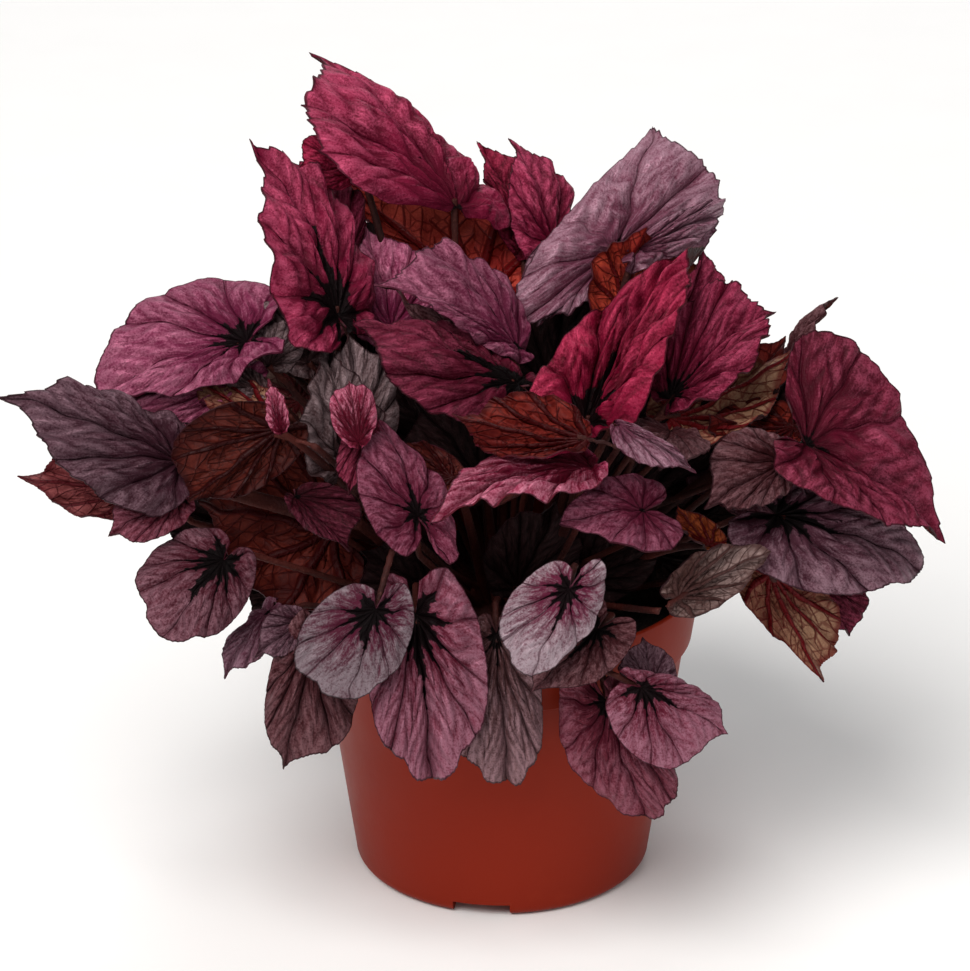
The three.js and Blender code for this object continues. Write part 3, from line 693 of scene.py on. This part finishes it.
undersides = {
    "amber": {"tissue": (156, 78, 34), "shade": (112, 36, 20), "vein": (74, 6, 8)},
    "brick": {"tissue": (142, 46, 36), "shade": (96, 20, 19), "vein": (64, 6, 9)},
    "rust": {"tissue": (190, 72, 50), "shade": (138, 38, 32), "vein": (84, 7, 10)},
    # a lighter orange-red underside: its own hue, partly painted light on a leaf that lies in shadow
    "emberPaintedLight": {"tissue": (208, 84, 68), "shade": (172, 52, 48), "vein": (104, 9, 13)},
    # a lighter mauve-brown underside: its own hue, partly painted light on a leaf that lies in shadow
    "mulberryPaintedLight": {"tissue": (158, 86, 86), "shade": (118, 50, 54), "vein": (84, 20, 28)},
    "ash": {"tissue": (164, 138, 134), "shade": (92, 60, 56), "vein": (84, 54, 52)},
    "umber": {"tissue": (116, 44, 34), "shade": (76, 21, 18), "vein": (58, 8, 10)},
    "olive": {"tissue": (180, 140, 112), "shade": (134, 82, 66), "vein": (100, 14, 20)},
    "grey": {"tissue": (156, 128, 116), "shade": (112, 72, 64), "vein": (96, 28, 32)},
    "red": {"tissue": (92, 34, 28), "shade": (60, 15, 15), "vein": (50, 5, 7)},
    # near-black underside: painted shade for the dim leaves inside the plant
    "murk": {"tissue": (44, 20, 14), "shade": (26, 9, 7), "vein": (18, 3, 3)},
}
blotchColour = (8, 4, 5)
marginColour = (34, 4, 12)
topPattern = {
    "rays": (7, 3, 4), "creases": (24, 8, 6), "dustFrom": 1.02, "dustTo": 1.66, "dust": 0.9, "metal": 0.45,
    "flecks": 0.35, "mainLines": 0.55, "sideLines": 0.16, "blotch": 0.97, "margin": 0.8,
    "depth": 0.8 * mm, "strength": 0.8,
}
underPattern = {
    "netScale": 210, "fineNetScale": 560, "net": 0.6, "fineNet": 0.22, "sideLines": 0.85, "margin": 0.8,
    "depth": 0.8 * mm, "strength": 0.9,
}


def leafTop(name, look):
    pattern = topPattern
    paint = Paint(name, Specular_IOR_Level=0.08)
    place = paint.place()
    out, along = paint.flat("veins")
    mainGap, sideGap, radius = veinField(out, along)
    reach = paint.value("reach")
    cloud = paint.noise(place, 60, 2)
    mottle = paint.noise(place, 300, 4, 0.65)
    grain = paint.noise(place, 1600, 2, 0.6)
    ridge = ramp(sideGap, 0.0, 0.45) * ramp(mainGap, 0.0, 0.06)
    turn = out.maths("ARCTAN2", out, along)
    ray = paint.streaks(turn, radius, cloud, pattern["rays"])
    crease = paint.streaks(turn, radius, cloud, pattern["creases"])
    tone = ridge * 0.25 + cloud * 0.7 + ray * 0.5 + reach * 0.15
    colour = blend(ramp(tone, 0.45, 1.15), linear(look["deep"]), linear(look["pale"]))
    fromHeart = reach * 0.62 if look.get("paleEdge") else radius
    heart = ramp(fromHeart + (cloud - 0.5) * 0.6 + (ray - 0.5) * 0.3, 0.72, 0.25)
    strong, bare = (0.85, 0.9) if "heart" in look else (0.25, 0.2)
    colour = blend(heart * strong, colour, linear(look.get("heart", look["deep"])))
    zone = ramp(radius, 0.12, 0.5) - heart * bare
    dense = zone * 0.22 + ray * 0.6 + crease * 0.75 + mottle * 0.25 + ridge * 0.1 + look["dusty"] * 0.6
    speck = ramp(dense + (grain - 0.5) * 0.6, pattern["dustFrom"], pattern["dustTo"])
    colour = blend(speck * pattern["dust"], colour, linear(look["dust"]))
    fleck = ramp(grain + (mottle - 0.5) * 0.6, 0.47, 0.34)
    colour = blend(fleck * pattern["flecks"], colour, linear(look["deep"]))
    mainLine = ramp(mainGap - (0.007 - radius * 0.005), 0.006, -0.002)
    sideLine = ramp(sideGap, 0.05, 0.0) * ramp(radius, 0.6, 0.3)
    lines = bigger(mainLine * pattern["mainLines"], sideLine * pattern["sideLines"])
    colour = blend(lines, colour, linear(look["deep"]))
    wedge = mainGap / (radius + 0.03)
    feather = ramp(sideGap, 0.3, 0.0)
    middle = ramp(positive(turn), 0.5, 0.1)
    spread = radius * (1 + wedge * (6.5 - feather * 3)) * (1 - middle * 0.38)
    spread = spread + (mottle - 0.5) * 0.24 + (grain - 0.5) * 0.06
    blotch = ramp(spread - paint.value("blotch"), 0.02, -0.01)
    colour = blend(blotch * pattern["blotch"], colour, linear(blotchColour))
    margin = ramp(reach + (mottle - 0.5) * 0.02, 0.978, 0.992)
    colour = blend(margin * pattern["margin"], colour, linear(marginColour))
    # the leaf's shade share darkens its colour: partly its own tone, partly painted light and shade
    paint.set("Base Color", blend(paint.value("shade"), linear((0, 0, 0)), colour))
    paint.set("Roughness", 0.5 - speck * 0.1 + (grain - 0.5) * 0.3)
    paint.set("Metallic", speck * pattern["metal"])
    height = ridge * 0.3 - mainLine * 0.5 + grain * 0.3 + mottle * 0.4 + crease * 1.1
    paint.bump(height, pattern["depth"], pattern["strength"])
    return paint.material


def leafUnder(name, look):
    pattern = underPattern
    paint = Paint(name, Specular_IOR_Level=0.1)
    place = paint.place()
    out, along = paint.flat("veins")
    mainGap, sideGap, radius = veinField(out, along)
    reach = paint.value("reach")
    broad = paint.noise(place, 60, 3)
    grain = paint.noise(place, 900, 3, 0.6)
    tissue = blend(ramp(broad * 0.7 + grain * 0.4, 0.4, 0.72), linear(look["shade"]), linear(look["tissue"]))
    netLine = ramp(paint.cells(place, pattern["netScale"]), 0.08, 0.02) * pattern["net"]
    fineLine = ramp(paint.cells(place, pattern["fineNetScale"]), 0.08, 0.02) * pattern["fineNet"]
    sideLine = ramp(sideGap, 0.08, 0.02) * pattern["sideLines"]
    mainLine = ramp(mainGap - (0.026 - radius * 0.018), 0.008, -0.004)
    lines = bigger(bigger(netLine, fineLine), bigger(sideLine, mainLine))
    colour = blend(lines, tissue, linear(look["vein"]))
    margin = ramp(reach + (broad - 0.5) * 0.12, 0.92, 0.985)
    colour = blend(margin * pattern["margin"], colour, linear(look["vein"]))
    # the leaf's shade share darkens its colour: partly its own tone, partly painted light and shade
    paint.set("Base Color", blend(paint.value("shade"), linear((0, 0, 0)), colour))
    paint.set("Roughness", 0.55 - lines * 0.1 + (grain - 0.5) * 0.2)
    height = mainLine + sideLine * 0.6 + netLine * 0.45 + grain * 0.2
    paint.bump(height, pattern["depth"], pattern["strength"])
    return paint.material


def leafRim(name, look):
    paint = Paint(name, Specular_IOR_Level=0.2)
    grain = paint.noise(paint.place(), 800, 2)
    paint.set("Base Color", blend(grain, linear(marginColour), linear(look["deep"])))
    paint.set("Roughness", 0.55 + grain * 0.1)
    return paint.material


tops = {name: leafTop("top_" + name, look) for name, look in looks.items()}
rims = {name: leafRim("rim_" + name, look) for name, look in looks.items()}
unders = {name: leafUnder("under_" + name, look) for name, look in undersides.items()}

# Leaves whose underside isn't the one that the part's colour names. The lighter undersides of leaves 36 and
# 44 are partly painted light, as both lie in the shadow of other leaves.
otherUndersides = {10: "brick", 12: "umber", 26: "rust", 33: "ash", 36: "mulberryPaintedLight", 40: "umber", 44: "emberPaintedLight"}


def makeLeaf(name, shape):
    plain = shape["colour"] if shape["face"] == "under" else shape["backSide"]
    underside = otherUndersides.get(shape["index"] + 1, plain)
    piece = fineBlade(name, shape, (tops[shape["look"]], unders[underside], rims[shape["look"]]))
    return wear(piece, shape["colour"])


for shape in shapes:
    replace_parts(makeLeaf(f"blade_{shape['index'] + 1:02d}", shape), f"leaf_{shape['index'] + 1:02d}")
print("leaves made:", len(shapes))


# Small leaves between the large ones, and dim ones inside the plant, coloured near-black as painted shade:
# rows as above, and how far the blotch reaches.
firstScrap = 60
# face, colour and near-black look of the dim leaves inside: painted shade
paintedShadeLeaf = ("top", "mauve", "murk")
scraps = [
    [(-9, 152, 24), (-34, 170, 22), (-10, 160, 26), (-6, 150, 20), 0.5, "under", "brick", "dusk", 0],
    [(-40, 130, 50), (-46, 108, 54), (-50, 119, 52), (-38, 118, 52), 0.5, "under", "brick", "wine", 0],
    [(-70, 147, 32), (-58.5, 160, 28), (-72, 158, 30), (-61, 148, 30), 0.2, "top", "grey", "slate", 0],
    [(-66, 127, 56), (-70, 143, 54), (-71.5, 134, 57), (-64.5, 137, 57), 0.3, "top", "magenta", "bright", 0],
    [(62, 93, 36), (52, 105, 42), (54, 98, 42), (64, 100, 36), 0.5, "under", "amber", "dusk", 0],
    [(44, 50, 40), (42, 66, 36), (34, 58, 44), (52, 57, 38), 0.7, "top", "grey", "plum", 0.1],
    [(90, 84, -8), (104, 66, -14), (108, 80, -16), (93, 71, -8), 0.6, "top", "mauve", "wine", 0.1],
    [(86, 128, 14), (60, 131.5, 34), (72, 120, 30), (76, 138, 16), 0.6, "under", "brick", "dusk", 0],
    [(45, 125, 18), (57, 147, 20), (38, 139, 22), (62, 132, 18), 0.6, *paintedShadeLeaf, 0],
    [(-60, 70, 44), (-74, 60, 48), (-64, 60, 48), (-70, 73, 44), 0.6, "top", "grey", "plum", 0.1],
    [(-15, 113, 46), (-35, 121, 44), (-24, 125, 42), (-27, 112, 48), 0.8, "top", "magenta", "magenta", 0.16],
    [(-72, 140, 36), (-90, 149, 28), (-82, 140, 34), (-80, 150, 28), 0.6, "top", "grey", "slate", 0],
    [(40, 182, 20), (67, 193, -8), (50, 178, 14), (56, 194, 0), 0.5, "under", "brick", "lilac", 0],
    [(-14, 118, 0), (-40, 148, -4), (-44, 122, 6), (-8, 148, -10), 0.8, *paintedShadeLeaf, 0.1],
    [(-6, 112, 14), (-26, 136, 16), (-30, 116, 22), (-2, 138, 8), 0.8, *paintedShadeLeaf, 0.1],
    [(-40, 134, -4), (-52, 166, -12), (-62, 148, -4), (-36, 158, -14), 0.8, *paintedShadeLeaf, 0],
    [(0, 136, 4), (-14, 172, -4), (-24, 152, 4), (10, 160, -8), 0.8, *paintedShadeLeaf, 0],
    [(14, 136, 0), (18, 172, -8), (2, 154, -2), (34, 152, -8), 0.8, *paintedShadeLeaf, 0],
    [(-70, 92, 16), (-100, 106, 14), (-96, 90, 18), (-78, 110, 8), 0.8, *paintedShadeLeaf, 0],
    [(44, 90, 0), (72, 112, -6), (70, 88, 2), (48, 114, -8), 0.8, *paintedShadeLeaf, 0.1],
    [(36, 104, 2), (52, 136, 0), (34, 128, 6), (62, 116, -2), 0.8, *paintedShadeLeaf, 0],
    [(66, 126, -2), (84, 156, -6), (68, 148, 2), (92, 138, -6), 0.7, "under", "brick", "murk", 0],
    [(70, 116, 6), (86, 144, 6), (72, 136, 10), (94, 126, 6), 0.7, *paintedShadeLeaf, 0],
    [(-20, 78, 20), (-42, 92, 26), (-42, 76, 30), (-24, 96, 14), 0.8, *paintedShadeLeaf, 0],
    [(4, 80, 18), (16, 106, 22), (-2, 100, 26), (24, 90, 18), 0.8, *paintedShadeLeaf, 0],
    [(24, 82, 14), (42, 104, 22), (22, 102, 22), (46, 86, 18), 0.8, *paintedShadeLeaf, 0],
    [(30, 112, 24), (34, 134, 24), (22, 126, 28), (42, 124, 20), 0.7, *paintedShadeLeaf, 0],
    [(14, 156, -8), (28, 178, -14), (12, 172, -12), (30, 162, -8), 0.7, *paintedShadeLeaf, 0],
    [(50, 154, 10), (60.5, 183, 6), (50, 166, 10), (66, 164, 4), 0.7, "top", "crimson", "crimson", 0.1],
    [(-38, 166, -2), (-47, 194, -8), (-50, 178, -4), (-34, 180, -8), 0.7, "top", "crimson", "murk", 0],
    [(-78, 142, 34), (-118, 136, 32), (-98, 128, 36), (-96, 148, 28), 0.8, "top", "magenta", "pink", 0],
    [(-58, 148, 30), (-78, 166, 24), (-74, 152, 28), (-60, 162, 24), 0.7, "top", "grey", "slate", 0],
    [(32, 181, 0), (10, 158, 14), (26, 164, 12), (6, 179, 8), 0.4, "top", "silver", "lilac", 0],
    [(44, 160, 6), (63, 177, 0), (48, 178, 8), (60, 163, -2), 0.5, "under", "amber", "wine", 0],
    [(34, 130, 64), (58, 115, 68), (49, 124, 66), (41, 117, 68), 0.3, "top", "silver", "lilac", 0],
    [(-44, 120, 34), (-46, 157, 24), (-54, 138, 30), (-31, 138, 26), 0.4, "top", "grey", "slate", 0],
    [(-52, 168, 10), (-55, 204, -2), (-66, 188, 2), (-41, 192, -4), 0.5, "top", "crimson", "crimson", 0],
    # the bright scarlet look is partly painted light, on a crimson lobe that lies in the shadow of leaf 41
    [(-42, 205, 6), (-62, 205, 14), (-54, 199, 12), (-58, 216, 10), 0.4, "top", "crimson", "scarlet", 0],
    [(-55, 84, 6), (-76, 70, 10), (-62, 68, 10), (-74, 86, 6), 0.6, *paintedShadeLeaf, 0],
    [(-80, 128, 22), (-104, 142, 18), (-99, 127, 24), (-88, 145, 18), 0.6, "top", "magenta", "pink", 0],
]


def scrapShape(row, index):
    first, last, one, other = [seen(*corner) for corner in row[:4]]
    if row[5] == "under":
        one, other = other, one
    shape = bladeShape(first, last, one, other, row[4], index)
    # the dim leaves inside also get the near-black underside of painted shade
    shape.update({
        "colour": row[6], "look": row[7], "face": row[5], "blotch": row[8], "shade": usual["smallShade"],
        "backSide": "murk" if row[7] == "murk" else "red",
    })
    return shape


scrapShapes = [scrapShape(row, firstScrap + k) for k, row in enumerate(scraps)]
for k, shape in enumerate(scrapShapes):
    makeLeaf(f"scrap_{k + 1:02d}", shape)
print("small leaves made:", len(scrapShapes))


# Stalks and rhizome. The thin stalks are those of the small leaves.
stalk = {
    "voxel": 0.8 * mm, "smoothing": 0.5, "smoothSteps": 6,
    "dark": (40, 9, 8), "pale": (70, 22, 16), "fur": (110, 66, 56),
}
thinStalk = {
    "footReach": 0.022, "footShare": 0.3, "footHeight": 0.086, "wide": 0.0017, "thin": 0.0010,
    "sides": 8, "rings": 20, "bendShares": (0.45, 0.55), "bendLift": 0.012,
}


def copyOf(node, name):
    deselectAll()
    copy = bpy.data.objects.new(name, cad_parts[node].data.copy())
    bpy.context.scene.collection.objects.link(copy)
    return merged(copy)


def stalkPaint():
    paint = Paint("stalkPaint", Specular_IOR_Level=0.2)
    place = paint.place()
    broad = paint.noise(place, 45, 3)
    fur = paint.noise(place, 1300, 3, 0.6)
    colour = blend(ramp(broad, 0.35, 0.65), linear(stalk["dark"]), linear(stalk["pale"]))
    colour = blend(ramp(fur, 0.55, 0.72) * 0.35, colour, linear(stalk["fur"]))
    paint.set("Base Color", colour)
    paint.set("Roughness", 0.55 + fur * 0.2)
    paint.bump(fur, 0.0005, 0.7)
    return paint.material


def tube(start, end):
    # a grid rolled up round a bowed line, from the crown to a joint
    t = thinStalk
    deselectAll()
    bpy.ops.mesh.primitive_grid_add(x_subdivisions=t["sides"], y_subdivisions=t["rings"], size=2)
    piece = added("tube")
    grid = pointsOf(piece)
    turn = (grid[:, 0] + 1) * math.pi
    share = (grid[:, 1] + 1) / 2
    bend = start * t["bendShares"][0] + end * t["bendShares"][1] + np.array([0, 0, t["bendLift"]])
    path = (np.outer((1 - share) ** 2, start) + np.outer(2 * share * (1 - share), bend)
            + np.outer(share ** 2, end))
    heading = unit(end - start)
    side = unit(np.cross(heading, [0, 1, 0.1]))
    lift = np.cross(side, heading)
    radius = t["wide"] + (t["thin"] - t["wide"]) * share
    ring = np.outer(np.cos(turn) * radius, side) + np.outer(np.sin(turn) * radius, lift)
    setPoints(piece, path + ring)
    return piece


stalks = copyOf("rhizome", "stalks")
modified(stalks, "REMESH", mode="VOXEL", voxel_size=stalk["voxel"], use_smooth_shade=True)
modified(stalks, "SMOOTH", factor=stalk["smoothing"], iterations=stalk["smoothSteps"])
smoothed(stalks)
stalkMaterial = stalkPaint()
wear(stalks, "stalk", stalkMaterial)
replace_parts(stalks, "rhizome")
print("stalks made:", len(stalks.data.polygons), "faces")

thinStalks = []
for shape in scrapShapes:
    joint = shape["joint"] + potAxis
    outward = shape["joint"] * [1, 1, 0]
    footRadius = min(thinStalk["footReach"], np.linalg.norm(outward) * thinStalk["footShare"])
    foot = unit(outward) * footRadius + potAxis
    foot[2] = thinStalk["footHeight"]
    thinStalks.append(tube(foot, joint))
deselectAll()
for piece in thinStalks:
    piece.select_set(True)
bpy.context.view_layer.objects.active = thinStalks[0]
bpy.ops.object.join()
thin = added("thinStalks")
smoothed(merged(thin))
wear(thin, "stalk", stalkMaterial)
print("thin stalks made:", len(scrapShapes))


# Pot: radii, heights and widths in mm.
pot = {
    "height": 95, "rim": 60, "collarHeight": 20, "collar": 57.2, "body": 55.3, "base": 44.9, "baseEdge": 3.2,
    "wall": 1.5, "foot": 3.5, "plateLow": 4, "plateTop": 6, "hub": 2.5, "edge": 0.3, "corner": 0.5,
    "sides": 160, "sharpAngle": 30,
    "notches": 3, "notchWidth": 17.3, "notchHeight": 4, "notchDepth": 16.3, "firstNotch": -98.4,
    "drains": 6, "drainRadius": 4, "drainCircle": 28, "drainSides": 24, "drainMiddle": 5, "drainDepth": 8,
    "dark": (122, 30, 13), "pale": (134, 36, 16), "scuff": (140, 46, 24),
}


def arc(centre, radius, start, end, steps):
    angles = [math.radians(start + (end - start) * k / steps) for k in range(steps + 1)]
    return [(centre[0] + radius * math.cos(a), centre[1] + radius * math.sin(a)) for a in angles]


def turned(name, profile, sides):
    # a ring drawn along a profile of radius and height, closed at both ends
    first = profile[0]
    deselectAll()
    place = (potAxis[0], potAxis[1], first[1] * mm)
    bpy.ops.mesh.primitive_circle_add(vertices=sides, radius=first[0] * mm, fill_type="NGON",
                                      location=place)
    piece = added(name)
    pick(piece)
    bpy.ops.object.mode_set(mode="EDIT")
    bpy.ops.mesh.select_all(action="SELECT")
    for (radius, height), (nextRadius, nextHeight) in zip(profile, profile[1:]):
        bpy.ops.mesh.extrude_region_move(
            TRANSFORM_OT_translate={"value": (0, 0, (nextHeight - height) * mm)})
        ratio = nextRadius / radius
        bpy.ops.transform.resize(value=(ratio, ratio, 1), center_override=(potAxis[0], potAxis[1], 0))
    bpy.ops.mesh.select_all(action="SELECT")
    bpy.ops.mesh.normals_make_consistent(inside=False)
    bpy.ops.object.mode_set(mode="OBJECT")
    return piece


def cutWith(piece, cutter):
    modified(piece, "BOOLEAN", operation="DIFFERENCE", solver="EXACT", object=cutter)
    bpy.data.objects.remove(cutter)


def potPaint():
    paint = Paint("potPaint", Specular_IOR_Level=0.08)
    place = paint.place()
    broad = paint.noise(place, 12, 3)
    grain = paint.noise(place, 1600, 2)
    scuff = paint.noise(place, 90, 5, 0.7)
    colour = blend(broad, linear(pot["dark"]), linear(pot["pale"]))
    colour = blend(ramp(scuff, 0.58, 0.75) * 0.2, colour, linear(pot["scuff"]))
    paint.set("Base Color", colour)
    paint.set("Roughness", 0.42 + (scuff - 0.5) * 0.2)
    paint.bump(grain * 0.5 + scuff * 0.5, 0.00012, 0.6)
    return paint.material


def onCircle(turn, radius, height=0):
    return (potAxis[0] + radius * mm * math.cos(turn), potAxis[1] + radius * mm * math.sin(turn), height * mm)


def makePot():
    p = pot
    edge = p["edge"]
    footOut = p["base"] - p["baseEdge"]
    footIn = footOut - p["foot"]
    bottom = p["height"] - p["collarHeight"]
    innerBase = p["base"] - p["wall"] + (p["body"] - p["base"]) * (p["plateTop"] - p["baseEdge"]) / bottom
    profile = [(p["hub"], p["plateLow"]), (footIn - p["corner"], p["plateLow"]),
               (footIn, p["plateLow"] - p["corner"]), (footIn, edge), (footIn + edge, 0), (footOut, 0)]
    profile += arc((footOut, p["baseEdge"]), p["baseEdge"], -75, 0, 6)
    profile += [(p["body"] - edge / 2, bottom - 1), (p["body"] + edge, bottom - edge / 2),
                (p["collar"] - edge, bottom), (p["collar"], bottom + edge)]
    rimMiddle = (p["rim"] - p["wall"] / 2, p["height"] - p["wall"] / 2)
    profile += arc(rimMiddle, p["wall"] / 2, 0, 180, 8)
    profile += [(p["collar"] - p["wall"], bottom + p["wall"]), (p["body"] - p["wall"], bottom - p["wall"]),
                (innerBase, p["plateTop"]), (p["hub"], p["plateTop"])]
    piece = turned("potShell", profile, p["sides"])
    for k in range(p["notches"]):
        turn = math.radians(p["firstNotch"] + 360 / p["notches"] * k)
        size = (p["notchDepth"] * mm, p["notchWidth"] * mm, 2 * p["notchHeight"] * mm)
        deselectAll()
        bpy.ops.mesh.primitive_cube_add(size=1, location=onCircle(turn, p["base"] - p["foot"] / 2),
                                        rotation=(0, 0, turn), scale=size)
        cutWith(piece, added("notch"))
    for k in range(p["drains"]):
        place = onCircle(2 * math.pi * k / p["drains"], p["drainCircle"], p["drainMiddle"])
        deselectAll()
        bpy.ops.mesh.primitive_cylinder_add(vertices=p["drainSides"], radius=p["drainRadius"] * mm,
                                            depth=p["drainDepth"] * mm, location=place)
        cutWith(piece, added("drain"))
    smoothed(piece, p["sharpAngle"])
    wear(piece, "pot", potPaint())
    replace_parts(piece, "pot")


makePot()
print("pot made")


# Soil: the top between the two radii is rough, down to the low height.
soil = {
    "low": 80.4 * mm, "outer": 0.0555, "inner": 0.030, "crumbs": 0.6 * mm, "sharpAngle": 40,
    "dark": (15, 9, 7), "pale": (48, 30, 22),
}


def soilPaint():
    paint = Paint("soilPaint", Specular_IOR_Level=0.3)
    place = paint.place()
    crumb = paint.noise(place, 420, 5, 0.7)
    broad = paint.noise(place, 90, 3)
    tone = ramp(crumb * 0.6 + broad * 0.4, 0.38, 0.68)
    paint.set("Base Color", blend(tone, linear(soil["dark"]), linear(soil["pale"])))
    paint.set("Roughness", 0.85 + (crumb - 0.5) * 0.2)
    paint.bump(crumb, 0.0015, 0.9)
    return paint.material


def makeSoil():
    copy = copyOf("soil", "soilBed")
    modified(copy, "SUBSURF", subdivision_type="SIMPLE", levels=3, render_levels=3)
    points = pointsOf(copy)
    flat = points - potAxis
    radius = np.hypot(flat[:, 0], flat[:, 1])
    top = (flat[:, 2] > soil["low"]) & (radius < soil["outer"]) & (radius > soil["inner"])
    rough = (np.sin(900 * flat[:, 0] + 1.3) * np.sin(830 * flat[:, 1] - 0.4)
             + 0.6 * np.sin(2100 * flat[:, 0] - 1700 * flat[:, 1]))
    points[top, 2] += soil["crumbs"] * rough[top]
    setPoints(copy, points)
    smoothed(copy, soil["sharpAngle"])
    wear(copy, "soil", soilPaint())
    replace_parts(copy, "soil")


makeSoil()
print("soil made")
